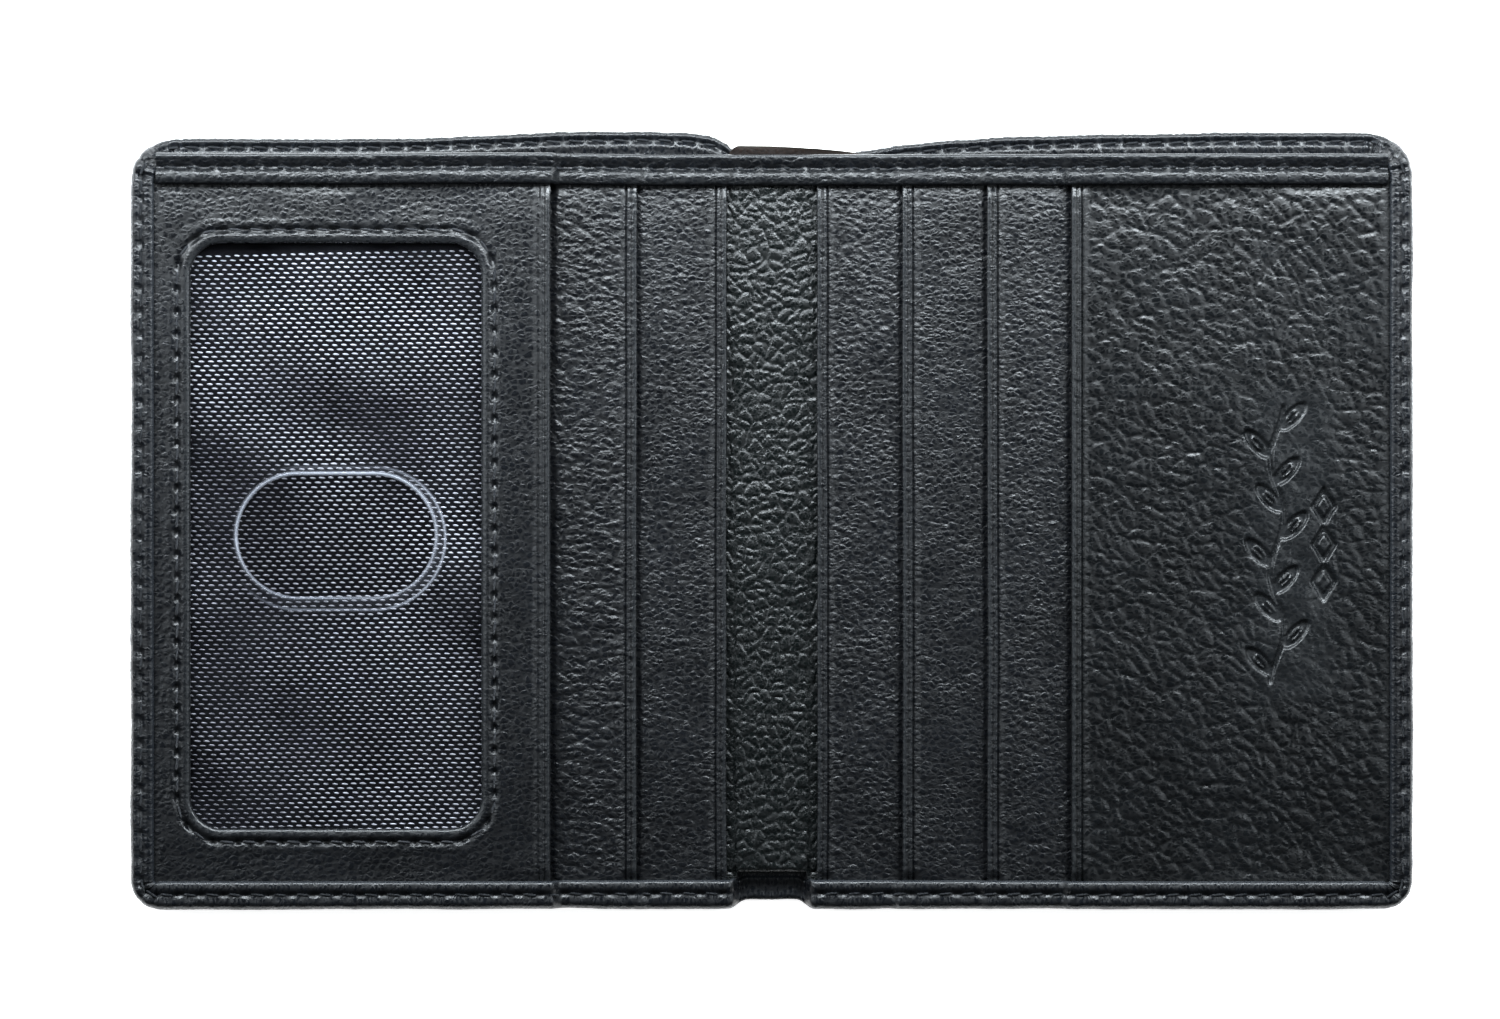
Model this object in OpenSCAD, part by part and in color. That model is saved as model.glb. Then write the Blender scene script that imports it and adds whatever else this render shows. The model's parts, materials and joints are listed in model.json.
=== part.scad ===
// Folding leather wallet, lying open on its back.
// X runs along the open width, Y from the folded bottom edge to the mouth of the
// bill compartment, Z up from the surface that the wallet lies on.
// A leaf is drawn on the +X side, and the left one is mirrored.

/* [Overall] */
// Width of the open wallet
open_w = 170; // [164:1:184]
// Height of the outer cover
open_h = 102.5; // [98:0.5:110]
// Distance between the two fold lines
spine_w = 8.4; // [7.6:0.2:11]
// Radius of the two bottom corners of the cover
low_r = 4; // [2:0.5:8]
// Radius of the two top corners of the cover
high_r = 6; // [3:0.5:9]

/* [Cover] */
// Thickness of the cover leather
cover_t = 1.1; // [0.9:0.05:1.3]
// Thickness of leather where it is thinned and turned over
turned_t = 0.6; // [0.4:0.05:0.8]
// Width of the turned border along each side
side_border_w = 3.3; // [2.8:0.1:3.8]
// Width of the turned border along the bottom
bottom_border_w = 3.9; // [3.2:0.1:4.6]
// Width of the hem along the top
hem_w = 4.5; // [3.5:0.1:6]
// How far the top of the spine dips below the top of the leaves
spine_dip = 1.4; // [0.5:0.1:2]

/* [Linings] */
// Thickness of the shielding foil
foil_t = 0.15; // [0.1:0.01:0.2]
// Thickness of lining fabric
lining_t = 0.25; // [0.15:0.01:0.3]
// Thickness of the divider in the bill compartment
divider_t = 0.25; // [0.2:0.01:0.3]
// Thickness of the empty bill compartment
bill_gap = 0.3; // [0.2:0.05:0.4]

/* [Pockets] */
// Distance from the centre to the mouth of each leaf's first pocket
first_mouth = 6; // [5.8:0.1:7]
// Width of the first strip that shows on the left leaf
left_strip_1 = 11.9; // [9:0.1:12]
// Width of the second strip that shows on the left leaf
left_strip_2 = 11.4; // [9:0.1:12]
// Width of the first strip that shows on the right leaf
right_strip_1 = 11.3; // [9:0.1:13]
// Width of the second strip that shows on the right leaf
right_strip_2 = 11.2; // [9:0.1:13]
// Width of the third strip that shows on the right leaf
right_strip_3 = 11.1; // [9:0.1:13]
// Thickness of a pocket's leather facing
facing_t = 0.5; // [0.4:0.05:0.6]
// How far a facing runs under the next one
facing_tuck = 2; // [1:0.5:4]
// Distance from a mouth to its crease line
crease_in = 1.6; // [1:0.1:2.5]
// Width of the trim strip along the top of the pockets
trim_w = 4.2; // [3.4:0.1:5]
// Distance from the top of the cover to the top of the trim strip
trim_drop = 2.3; // [1.5:0.1:3]

/* [Identity window] */
// Width of the window's opening
window_w = 38.5; // [30:0.5:40]
// Height of the window's opening
window_h = 77.5; // [60:0.5:80]
// Radius of the opening's corners
window_r = 4.2; // [2:0.1:8]
// How far the clear sheet reaches under the frame
sheet_edge = 3.5; // [2.5:0.1:4]
// Leather between the opening and the side border
window_side = 4.75; // [3:0.05:6]
// Leather between the opening and the bottom border
window_low = 6.9; // [4:0.1:8]
// Length of the thumb hole
thumb_w = 26; // [20:0.5:30]
// Height of the thumb hole
thumb_h = 16; // [12:0.5:20]
// Thickness of the clear sheet
sheet_t = 0.25; // [0.2:0.05:0.4]

/* [Stitching] */
// Distance from one stitch to the next
stitch_pitch = 3; // [2:0.1:4]
// Length of the thread seen in one stitch
stitch_len = 2.2; // [1.4:0.1:2.6]
// Width of the thread
thread_w = 0.5; // [0.3:0.05:0.7]
// Height of the thread over the leather
thread_t = 0.25; // [0.15:0.05:0.35]

/* [Hidden] */

half_w = open_w / 2;
half_h = open_h / 2;
fold_x = spine_w / 2;
// Gap between a leaf's layers and the spine's, shared equally by both
fold_gap = 0.1;
leaf_x0 = fold_x + fold_gap / 2;
spine_x1 = fold_x - fold_gap / 2;
// Thickness of the border's outer wall and the air between it and the layers inside
wall_t = 0.9;
air = 0.05;
inner_inset = wall_t + air;

// Heights of the layers, from the surface up
foil_z = cover_t;
bill_lining_z = foil_z + foil_t;
divider_z = bill_lining_z + lining_t + bill_gap;
// Air between the divider and the inner wall
wall_air = 0.15;
inner_lining_z = divider_z + divider_t + wall_air;
base_t = 0.6;
base_z = inner_lining_z + lining_t;
// The fold lines lie at the top of the base leather
fold_z = base_z + base_t;
// Each pocket stands one step above the last
mouth_air = 0.1;
step_z = facing_t + mouth_air;
// Top of the large front panels, which the borders and the trim lie on
panel_t = 0.8;
front_air = 0.15;
front_z = fold_z + 3 * step_z + front_air + panel_t;
card_lining_t = 0.2;
// The identity pocket: woven backing, room for the card, clear sheet, leather frame
id_backing_t = 0.2;
id_backing_z = fold_z + 2 * step_z + mouth_air;
frame_t = 0.65;
id_sheet_z = front_z - frame_t - sheet_t;

// Edges of the layers along Y, and how far the notch and the dip cut into the spine
low_y = -half_h + inner_inset;
trim_top = half_h - trim_drop;
trim_low = trim_top - trim_w;
// The facings end a little below the trim's top edge
facing_drop = 0.6;
facing_top = trim_top - facing_drop;
spine_low_rise = 4.9;
spine_low_y = -half_h + spine_low_rise;
spine_low_dip = 0.7;
hem_y = half_h - hem_w;
border_top = trim_top;
strip_x = half_w - side_border_w;
// The divider's edge stands above the trim over the spine
divider_rise = 0.8;
divider_left_x = fold_x + 1;
divider_right_x = 11;
// The leaf's trim starts past the fold line, so that it clears the spine's when folded
trim_x0 = fold_x + turned_t + 0.2;
// Where the panels that lie under a mouth or start at one begin
under_mouth = 1;

// The pocket mouths, outwards from the spine
left_mouths = [first_mouth, first_mouth + left_strip_1, first_mouth + left_strip_1 + left_strip_2];
right_mouths = [
    first_mouth,
    first_mouth + right_strip_1,
    first_mouth + right_strip_1 + right_strip_2,
    first_mouth + right_strip_1 + right_strip_2 + right_strip_3
];

// Middle of the identity window
window_x = strip_x - window_side - window_w / 2;
window_y = -half_h + bottom_border_w + window_low + window_h / 2;

// Stitch lines, measured in from the edge that each one follows
side_stitch_in = 1.6;
bottom_stitch_in = 2.1;
trim_stitch_in = 1.9;
hem_stitch_in = 1.1;
window_stitch_out = 1.8;
groove_w = 0.8;
groove_t = 0.35;
thread_air = 0.05;
// Distance from the end of a row to the first stitch's room
row_end = 1.2;

// Steps in a quarter arc
arc_steps = 8;
cover_color = "#24282b";
leather_color = "#2b3033";
pebble_color = "#30363a";
lining_color = "#17181a";
divider_color = "#3a2d28";
foil_color = "#b9bcc0";
mesh_color = "#55575f";
clear_color = [0.85, 0.88, 0.92, 0.35];
thread_color = "#4a4f52";

function arc(cx, cy, r, a0, a1, n = arc_steps) =
    [for (i = [0:n]) let (a = a0 + (a1 - a0) * i / n) [cx + r * cos(a), cy + r * sin(a)]];

function rounded_box(cx, cy, w, h, r) = concat(
    arc(cx + w / 2 - r, cy - h / 2 + r, r, -90, 0),
    arc(cx + w / 2 - r, cy + h / 2 - r, r, 0, 90),
    arc(cx - w / 2 + r, cy + h / 2 - r, r, 90, 180),
    arc(cx - w / 2 + r, cy - h / 2 + r, r, 180, 270));

// Outline of a leaf layer: square at the fold, rounded at its two outer corners
function leaf_points(x0, inset, y0, y1) = let (
    x1 = half_w - inset,
    rl = low_r - inset / 2,
    rh = high_r - inset / 2) concat(
    [[x0, y0]],
    arc(x1 - rl, y0 + rl, rl, -90, 0),
    arc(x1 - rh, y1 - rh, rh, 0, 90),
    [[x0, y1]]);

// Section of a strip that steps up over the pocket mouths. z0 is the height at the
// fold, and mouths and tops give each mouth and the height of the layer behind it
function stepped_under(x0, x1, z0, mouths, tops) = concat(
    [[x0, z0]],
    [for (i = [0:len(mouths) - 1]) let (before = i == 0 ? z0 : tops[i - 1])
        for (z = [before, tops[i]]) [mouths[i] - air, z]],
    [[x1, tops[len(tops) - 1]]]);

function stepped_over(x0, x1, z0, mouths, tops, t) = let (last = len(mouths) - 1) concat(
    [[x1, tops[last] + t]],
    [for (k = [0:last]) let (i = last - k, before = i == 0 ? z0 : tops[i - 1])
        for (z = [tops[i], before]) [mouths[i] - air - t, z + t]],
    [[x0, z0 + t]]);

// Heights of the layers behind the mouths: the last one is the front panel
function layer_tops(mouths) = let (last = len(mouths) - 1)
    [for (i = [0:last]) i == last ? front_z : fold_z + (i + 1) * step_z];

left_tops = layer_tops(left_mouths);
right_tops = layer_tops(right_mouths);

function surface_z(x, mouths, tops, i = 0) =
    i == len(mouths) ? tops[i - 1] :
    x < mouths[i] - air - turned_t ? (i == 0 ? fold_z : tops[i - 1]) :
    surface_z(x, mouths, tops, i + 1);

module plate(points, z, t) {
    translate([0, 0, z]) linear_extrude(t) polygon(points);
}

module along_y(points, y0, y1) {
    translate([0, y1, 0]) rotate([90, 0, 0]) linear_extrude(y1 - y0) polygon(points);
}

module block(x0, x1, y0, y1, z0, z1) {
    translate([x0, y0, z0]) cube([x1 - x0, y1 - y0, z1 - z0]);
}

module left_side() {
    mirror([1, 0, 0]) children();
}

// One stitch lying along X or along Y, centred on a point
module stitch(x, y, z, along_x) {
    size = along_x ? [stitch_len, thread_w] : [thread_w, stitch_len];
    translate([x - size[0] / 2, y - size[1] / 2, z]) cube([size[0], size[1], thread_t]);
}

function stitch_count(length) = floor(length / stitch_pitch);

// Centres of evenly spaced stitches between two ends
function stitch_places(a, b) = let (n = stitch_count(b - a))
    [for (i = [0:n - 1]) a + (i + 0.5) * (b - a) / n];

// ---- layers that every section has ----

module cover_leaf() {
    side_x = half_w - side_stitch_in;
    low_line = -half_h + bottom_stitch_in;
    high_line = half_h - hem_stitch_in;
    difference() {
        plate(leaf_points(leaf_x0, 0, -half_h, half_h), 0, cover_t);
        block(side_x - groove_w / 2, side_x + groove_w / 2,
              -half_h + low_r, half_h - high_r, -1, groove_t);
        block(leaf_x0 + row_end, half_w - low_r, low_line - groove_w / 2, low_line + groove_w / 2,
              -1, groove_t);
        block(leaf_x0 + row_end, half_w - high_r, high_line - groove_w / 2, high_line + groove_w / 2,
              -1, groove_t);
    }
}

// The hem is as wide as the cover above the side border, and lies inside its wall below
module hem_leaf() {
    intersection() {
        plate(leaf_points(leaf_x0, 0, -half_h, half_h), cover_t, turned_t);
        union() {
            block(0, open_w, border_top + air, half_h + 1, 0, front_z);
            intersection() {
                block(0, open_w, hem_y, half_h, 0, front_z);
                plate(leaf_points(leaf_x0, inner_inset, -half_h, half_h - inner_inset),
                      0, front_z);
            }
        }
    }
}

module lining_leaf(z, t, y1) {
    plate(leaf_points(leaf_x0, inner_inset, low_y, y1), z, t);
}

module spine_layer(z, t, y0, y1) {
    block(-spine_x1, spine_x1, y0, y1, z, z + t);
}

module divider_leaf(rise_x) {
    lining_leaf(divider_z, divider_t, trim_top - air);
    plate([[leaf_x0, trim_low], [rise_x, trim_low],
           [rise_x, trim_top + divider_rise], [leaf_x0, trim_top + divider_rise]],
          divider_z, divider_t);
}

module trim_leaf(mouths, tops) {
    x1 = strip_x - air;
    along_y(concat(stepped_under(trim_x0, x1, fold_z, mouths, tops),
                   stepped_over(trim_x0, x1, fold_z, mouths, tops, turned_t)),
            trim_low, trim_top);
}

// ---- borders ----

module side_border() {
    outer = leaf_points(leaf_x0, 0, -half_h, half_h);
    difference() {
        intersection() {
            plate(outer, cover_t, front_z + turned_t - cover_t);
            block(strip_x, half_w + 1, -half_h - 1, border_top, 0, front_z + 2);
        }
        plate(leaf_points(leaf_x0, wall_t, -half_h + wall_t, half_h + high_r), 0, front_z);
    }
}

module bottom_border(mouths, tops) {
    x1 = strip_x - air;
    under = stepped_under(leaf_x0, x1, fold_z, mouths, tops);
    over = stepped_over(leaf_x0, x1, fold_z, mouths, tops, turned_t);
    intersection() {
        union() {
            along_y(concat(under, over), -half_h, -half_h + bottom_border_w);
            along_y(concat([[leaf_x0, cover_t], [x1, cover_t]], over), -half_h, -half_h + wall_t);
        }
        plate(leaf_points(leaf_x0, 0, -half_h, half_h), 0, front_z + 2);
    }
}

// ---- pockets ----

// Section of a facing: rounded at the mouth, creased, square at the tucked end
function facing_points(x0, x1, z, t) = let (crease_w = 0.35, crease_t = 0.12) concat(
    arc(x0 + t / 2, z + t / 2, t / 2, 90, 270, 6),
    [[x1, z], [x1, z + t],
     [x0 + crease_in + crease_w, z + t],
     [x0 + crease_in, z + t - crease_t],
     [x0 + crease_in - crease_w, z + t]]);

module pocket_facing(mouths, i) {
    z = fold_z + i * step_z + mouth_air;
    x1 = mouths[i + 1] + facing_tuck;
    along_y(facing_points(mouths[i], x1, z, facing_t), low_y, facing_top);
}

module pocket_lining(mouths, i) {
    z = fold_z + i * step_z + mouth_air;
    x0 = mouths[i + 1] + facing_tuck;
    plate(leaf_points(x0, inner_inset, low_y, facing_top), z, lining_t);
}

// Large front leather panel of a leaf
module front_panel(mouth, z, t) {
    intersection() {
        along_y(facing_points(mouth, half_w, z, t), low_y, facing_top);
        plate(leaf_points(mouth - under_mouth, inner_inset, low_y, facing_top), 0, front_z + 1);
    }
}

// ---- rows of stitches ----

module border_stitches(mouths, tops) {
    side_x = half_w - side_stitch_in;
    low_line = -half_h + bottom_stitch_in;
    for (y = stitch_places(-half_h + low_r, half_h - high_r)) {
        stitch(side_x, y, front_z + turned_t, false);
        stitch(side_x, y, thread_air, false);
    }
    for (x = stitch_places(leaf_x0 + row_end, half_w - low_r - row_end)) {
        stitch(x, low_line, thread_air, true);
        if (flat_under(x, mouths))
            stitch(x, low_line, surface_z(x, mouths, tops) + turned_t, true);
    }
}

// True where a stitch doesn't reach over a step
function flat_under(x, mouths) =
    min([for (m = mouths) abs(x - m + air + turned_t / 2)]) > stitch_len / 2 + turned_t / 2;

module trim_stitches(mouths, tops) {
    for (x = stitch_places(mouths[0] + row_end / 2, strip_x - row_end / 2))
        if (flat_under(x, mouths))
            stitch(x, trim_top - trim_stitch_in, surface_z(x, mouths, tops) + turned_t, true);
}

module hem_stitches() {
    for (x = stitch_places(leaf_x0 + row_end, half_w - high_r - row_end / 2)) {
        stitch(x, half_h - hem_stitch_in, cover_t + turned_t, true);
        stitch(x, half_h - hem_stitch_in, thread_air, true);
    }
}

// ---- spine nodes ----

module shell_spine() {
    high = half_h - spine_dip;
    groove_y = high - hem_stitch_in;
    color(cover_color) difference() {
        block(-spine_x1, spine_x1, -half_h + spine_low_dip, high, 0, cover_t);
        block(-stitch_pitch, stitch_pitch, groove_y - groove_w / 2, groove_y + groove_w / 2,
              -1, groove_t);
    }
}

module hem_spine() {
    color(cover_color)
        block(-spine_x1, spine_x1, hem_y, half_h - spine_dip, cover_t, cover_t + turned_t);
}

module rfid_foil_spine() {
    color(foil_color) spine_layer(foil_z, foil_t, spine_low_y, hem_y - air);
}

module bill_lining_spine() {
    color(lining_color) spine_layer(bill_lining_z, lining_t, spine_low_y, hem_y - air);
}

module divider_spine() {
    color(divider_color)
        spine_layer(divider_z, divider_t, spine_low_y, trim_top + divider_rise);
}

module inner_lining_spine() {
    color(lining_color) spine_layer(inner_lining_z, lining_t, spine_low_y, trim_top - air);
}

module base_leather_spine() {
    color(pebble_color) spine_layer(base_z, base_t, spine_low_y, trim_top);
}

module top_trim_spine() {
    color(leather_color) spine_layer(fold_z, turned_t, trim_low, trim_top);
}

module trim_stitches_spine() {
    color(thread_color)
        for (x = [-stitch_pitch / 2, stitch_pitch / 2])
            stitch(x, trim_top - trim_stitch_in, fold_z + turned_t, true);
}

module hem_stitches_spine() {
    color(thread_color)
        for (x = [-stitch_pitch / 2, stitch_pitch / 2])
            stitch(x, half_h - spine_dip - hem_stitch_in, thread_air, true);
}

// ---- left leaf nodes ----

module shell_left() {
    color(cover_color) left_side() cover_leaf();
}

module hem_left() {
    color(cover_color) left_side() hem_leaf();
}

module rfid_foil_left() {
    color(foil_color) left_side() lining_leaf(foil_z, foil_t, hem_y - air);
}

module bill_lining_left() {
    color(lining_color) left_side() lining_leaf(bill_lining_z, lining_t, hem_y - air);
}

module divider_left() {
    color(divider_color) left_side() divider_leaf(divider_left_x);
}

module inner_lining_left() {
    color(lining_color) left_side() lining_leaf(inner_lining_z, lining_t, trim_top - air);
}

module base_leather_left() {
    color(pebble_color) left_side() lining_leaf(base_z, base_t, trim_top);
}

module top_trim_left() {
    color(leather_color) left_side() trim_leaf(left_mouths, left_tops);
}

module pocket_left_1() {
    color(leather_color) left_side() pocket_facing(left_mouths, 0);
}

module pocket_lining_left_1() {
    color(lining_color) left_side() pocket_lining(left_mouths, 0);
}

module pocket_left_2() {
    color(leather_color) left_side() pocket_facing(left_mouths, 1);
}

module pocket_lining_left_2() {
    color(lining_color) left_side() pocket_lining(left_mouths, 1);
}

module id_backing_mesh() {
    color(mesh_color) left_side()
        plate(leaf_points(left_mouths[2] + under_mouth, inner_inset, low_y, facing_top),
              id_backing_z, id_backing_t);
}

module id_window_sheet() {
    color(clear_color) left_side() difference() {
        plate(rounded_box(window_x, window_y, window_w + 2 * sheet_edge,
                          window_h + 2 * sheet_edge, window_r), id_sheet_z, sheet_t);
        translate([window_x, window_y, 0]) for (side = [-1, 1])
            translate([side * (thumb_w - thumb_h) / 2, 0, 0])
                cylinder(d = thumb_h, h = front_z, $fn = 48);
        block(window_x - (thumb_w - thumb_h) / 2, window_x + (thumb_w - thumb_h) / 2,
              window_y - thumb_h / 2, window_y + thumb_h / 2, 0, front_z);
    }
}

module id_window_frame() {
    color(leather_color) left_side() difference() {
        front_panel(left_mouths[2], front_z - frame_t, frame_t);
        plate(rounded_box(window_x, window_y, window_w, window_h, window_r), 0, front_z + 1);
    }
}

module side_border_left() {
    color(cover_color) left_side() side_border();
}

module bottom_border_left() {
    color(cover_color) left_side() bottom_border(left_mouths, left_tops);
}

module border_stitches_left() {
    color(thread_color) left_side() border_stitches(left_mouths, left_tops);
}

module window_stitches() {
    line_w = window_w + 2 * window_stitch_out;
    line_h = window_h + 2 * window_stitch_out;
    color(thread_color) left_side() {
        for (x = stitch_places(window_x - window_w / 2 + 2, window_x + window_w / 2 - 2))
            for (side = [-1, 1])
                stitch(x, window_y + side * line_h / 2, front_z, true);
        for (y = stitch_places(-window_h / 2 + 2, window_h / 2 - 2))
            for (side = [-1, 1])
                stitch(window_x + side * line_w / 2, window_y + y, front_z, false);
    }
}

module trim_stitches_left() {
    color(thread_color) left_side() trim_stitches(left_mouths, left_tops);
}

module hem_stitches_left() {
    color(thread_color) left_side() hem_stitches();
}

// ---- right leaf nodes ----

module shell_right() {
    color(cover_color) cover_leaf();
}

module hem_right() {
    color(cover_color) hem_leaf();
}

module rfid_foil_right() {
    color(foil_color) lining_leaf(foil_z, foil_t, hem_y - air);
}

module bill_lining_right() {
    color(lining_color) lining_leaf(bill_lining_z, lining_t, hem_y - air);
}

module divider_right() {
    color(divider_color) divider_leaf(divider_right_x);
}

module inner_lining_right() {
    color(lining_color) lining_leaf(inner_lining_z, lining_t, trim_top - air);
}

module base_leather_right() {
    color(pebble_color) lining_leaf(base_z, base_t, trim_top);
}

module top_trim_right() {
    color(leather_color) trim_leaf(right_mouths, right_tops);
}

module pocket_right_1() {
    color(leather_color) pocket_facing(right_mouths, 0);
}

module pocket_lining_right_1() {
    color(lining_color) pocket_lining(right_mouths, 0);
}

module pocket_right_2() {
    color(leather_color) pocket_facing(right_mouths, 1);
}

module pocket_lining_right_2() {
    color(lining_color) pocket_lining(right_mouths, 1);
}

module pocket_right_3() {
    color(leather_color) pocket_facing(right_mouths, 2);
}

module pocket_lining_right_3() {
    color(lining_color) pocket_lining(right_mouths, 2);
}

module card_panel_right() {
    t = panel_t - card_lining_t;
    color(leather_color) front_panel(right_mouths[3], front_z - t, t);
}

module card_panel_lining() {
    color(lining_color)
        plate(leaf_points(right_mouths[3] + under_mouth, inner_inset, low_y, facing_top),
              front_z - panel_t, card_lining_t);
}

module side_border_right() {
    color(cover_color) side_border();
}

module bottom_border_right() {
    color(cover_color) bottom_border(right_mouths, right_tops);
}

module border_stitches_right() {
    color(thread_color) border_stitches(right_mouths, right_tops);
}

module trim_stitches_right() {
    color(thread_color) trim_stitches(right_mouths, right_tops);
}

module hem_stitches_right() {
    color(thread_color) hem_stitches();
}

shell_spine();
hem_spine();
rfid_foil_spine();
bill_lining_spine();
divider_spine();
inner_lining_spine();
base_leather_spine();
top_trim_spine();
trim_stitches_spine();
hem_stitches_spine();
shell_left();
hem_left();
rfid_foil_left();
bill_lining_left();
divider_left();
inner_lining_left();
base_leather_left();
top_trim_left();
pocket_left_1();
pocket_lining_left_1();
pocket_left_2();
pocket_lining_left_2();
id_backing_mesh();
id_window_sheet();
id_window_frame();
side_border_left();
bottom_border_left();
border_stitches_left();
window_stitches();
trim_stitches_left();
hem_stitches_left();
shell_right();
hem_right();
rfid_foil_right();
bill_lining_right();
divider_right();
inner_lining_right();
base_leather_right();
top_trim_right();
pocket_right_1();
pocket_lining_right_1();
pocket_right_2();
pocket_lining_right_2();
pocket_right_3();
pocket_lining_right_3();
card_panel_right();
card_panel_lining();
side_border_right();
bottom_border_right();
border_stitches_right();
trim_stitches_right();
hem_stitches_right();
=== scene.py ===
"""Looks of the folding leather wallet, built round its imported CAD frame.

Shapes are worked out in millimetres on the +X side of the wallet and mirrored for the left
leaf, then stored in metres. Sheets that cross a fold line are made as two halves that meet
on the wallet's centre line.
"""
import json
import math

import bmesh
import bpy
import numpy as np
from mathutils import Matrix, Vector


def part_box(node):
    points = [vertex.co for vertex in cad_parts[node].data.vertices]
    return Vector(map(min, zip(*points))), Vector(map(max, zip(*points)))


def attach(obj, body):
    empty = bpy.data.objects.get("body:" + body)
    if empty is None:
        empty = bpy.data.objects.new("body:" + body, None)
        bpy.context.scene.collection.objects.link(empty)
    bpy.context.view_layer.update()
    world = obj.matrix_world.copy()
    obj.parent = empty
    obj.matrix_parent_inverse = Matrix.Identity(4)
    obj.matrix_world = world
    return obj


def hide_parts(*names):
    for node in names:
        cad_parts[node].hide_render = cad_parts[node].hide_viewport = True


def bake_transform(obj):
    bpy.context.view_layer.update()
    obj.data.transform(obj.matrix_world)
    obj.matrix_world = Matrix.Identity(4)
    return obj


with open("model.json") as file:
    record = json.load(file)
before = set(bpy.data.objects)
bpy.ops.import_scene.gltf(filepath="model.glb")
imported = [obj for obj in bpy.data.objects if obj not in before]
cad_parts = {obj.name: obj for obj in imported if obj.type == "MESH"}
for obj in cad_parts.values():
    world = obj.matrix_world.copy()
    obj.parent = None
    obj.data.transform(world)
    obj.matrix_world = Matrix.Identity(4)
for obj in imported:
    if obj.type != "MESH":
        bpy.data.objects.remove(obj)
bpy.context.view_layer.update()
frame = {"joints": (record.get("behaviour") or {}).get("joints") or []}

# ---- sizes in millimetres, from the frame ----

MM = 0.001


def box_mm(node):
    """Lowest and highest corner of a CAD node, in millimetres."""
    low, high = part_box(node)
    return [v / MM for v in low], [v / MM for v in high]


HALF_W, HALF_H, COVER_T = box_mm("shell_right")[1]
FOLD = next(j for j in frame["joints"] if j["name"] == "right_fold")["pos_m"]
FOLD_X, FOLD_Z = FOLD[0] / MM, FOLD[2] / MM
SPINE_LOW = box_mm("base_leather_spine")[0][1]
TRIM_LOW, TRIM_TOP = [corner[1] for corner in box_mm("top_trim_right")]
TRIM_END = box_mm("top_trim_right")[1][0]
LAYER_LOW, LAYER_TOP = [corner[1] for corner in box_mm("card_panel_right")]
FRONT_Z = box_mm("card_panel_right")[1][2]
STRIP_X, BORDER_Z = box_mm("side_border_right")[0][0], box_mm("side_border_right")[1][2]
BOTTOM_IN = box_mm("bottom_border_right")[1][1]
HEM_Z = box_mm("hem_right")[1][2]
SIDE_W = HALF_W - STRIP_X
BOTTOM_W = BOTTOM_IN + HALF_H
TURNED = BORDER_Z - FRONT_Z

LEFT, RIGHT = -1, 1
LEAF = {LEFT: "left_leaf", RIGHT: "right_leaf"}
WORD = {LEFT: "left", RIGHT: "right"}
# The layers of each leaf that have a mouth, from the spine outwards
MOUTHED = {
    RIGHT: ["pocket_right_1", "pocket_right_2", "pocket_right_3", "card_panel_right"],
    LEFT: ["pocket_left_1", "pocket_left_2", "id_window_frame"],
}
MOUTHS = {
    RIGHT: [box_mm(node)[0][0] for node in MOUTHED[RIGHT]],
    LEFT: [-box_mm(node)[1][0] for node in MOUTHED[LEFT]],
}
# Heights of the surface before the first mouth and after each one
STEPS = {side: [FOLD_Z] + [box_mm(node)[1][2] for node in MOUTHED[side][:-1]] + [FRONT_Z]
         for side in MOUTHED}

# Radii of the cover's lower and upper corners
LOW_R, HIGH_R = 4.0, 6.0
# A fold's bend starts and ends this far either side of the fold line
BEND = 2.0
STITCH_PITCH = 3.0
# Where the row of stitches round the turned edge starts, from the wallet's centre line
FIRST_STITCH = 0.7
THREAD_R = 0.2

# ---- noise and leather relief ----

TABLES = {}


def table(seed):
    """Random pairs that noise and grain are read from."""
    if seed not in TABLES:
        TABLES[seed] = np.random.RandomState(seed).rand(256, 256, 2)
    return TABLES[seed]


def smoothstep(t):
    t = np.clip(t, 0.0, 1.0)
    return t * t * (3 - 2 * t)


def rise(x, start, width):
    """0 up to a start, and a smooth climb to 1 over the width after it."""
    return smoothstep((x - start) / width)


def fall(x, end, width):
    """A smooth drop from 1 over the width before an end, and 0 after it."""
    return smoothstep((end - x) / width)


def mix(a, b, t):
    return a + (b - a) * t


def bump_at(x, centre, width):
    return np.exp(-(((x - centre) / width) ** 2))


def noise(x, y, seed):
    """Smooth noise from -1 to 1 with one bump to a unit."""
    values = table(seed)[:, :, 0]
    x, y = np.broadcast_arrays(np.asarray(x, float), np.asarray(y, float))
    ix, iy = np.floor(x).astype(int), np.floor(y).astype(int)
    fx, fy = smoothstep(x - ix), smoothstep(y - iy)

    def row(j):
        return mix(values[ix & 255, j & 255], values[(ix + 1) & 255, j & 255], fx)

    return 2 * mix(row(iy), row(iy + 1), fy) - 1


def cell_gap(x, y, seed):
    """Second nearest less nearest distance to jittered points: 0 on a cell's edge."""
    places = table(seed)
    ix, iy = np.floor(x).astype(int), np.floor(y).astype(int)
    first, second = np.full(x.shape, 9.0), np.full(x.shape, 9.0)
    for dx in (-1, 0, 1):
        for dy in (-1, 0, 1):
            cx, cy = ix + dx, iy + dy
            at = places[cx & 255, cy & 255]
            d = np.hypot(cx + at[..., 0] - x, cy + at[..., 1] - y)
            second = np.where(d < first, first, np.minimum(second, d))
            first = np.minimum(first, d)
    return second - first


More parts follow.
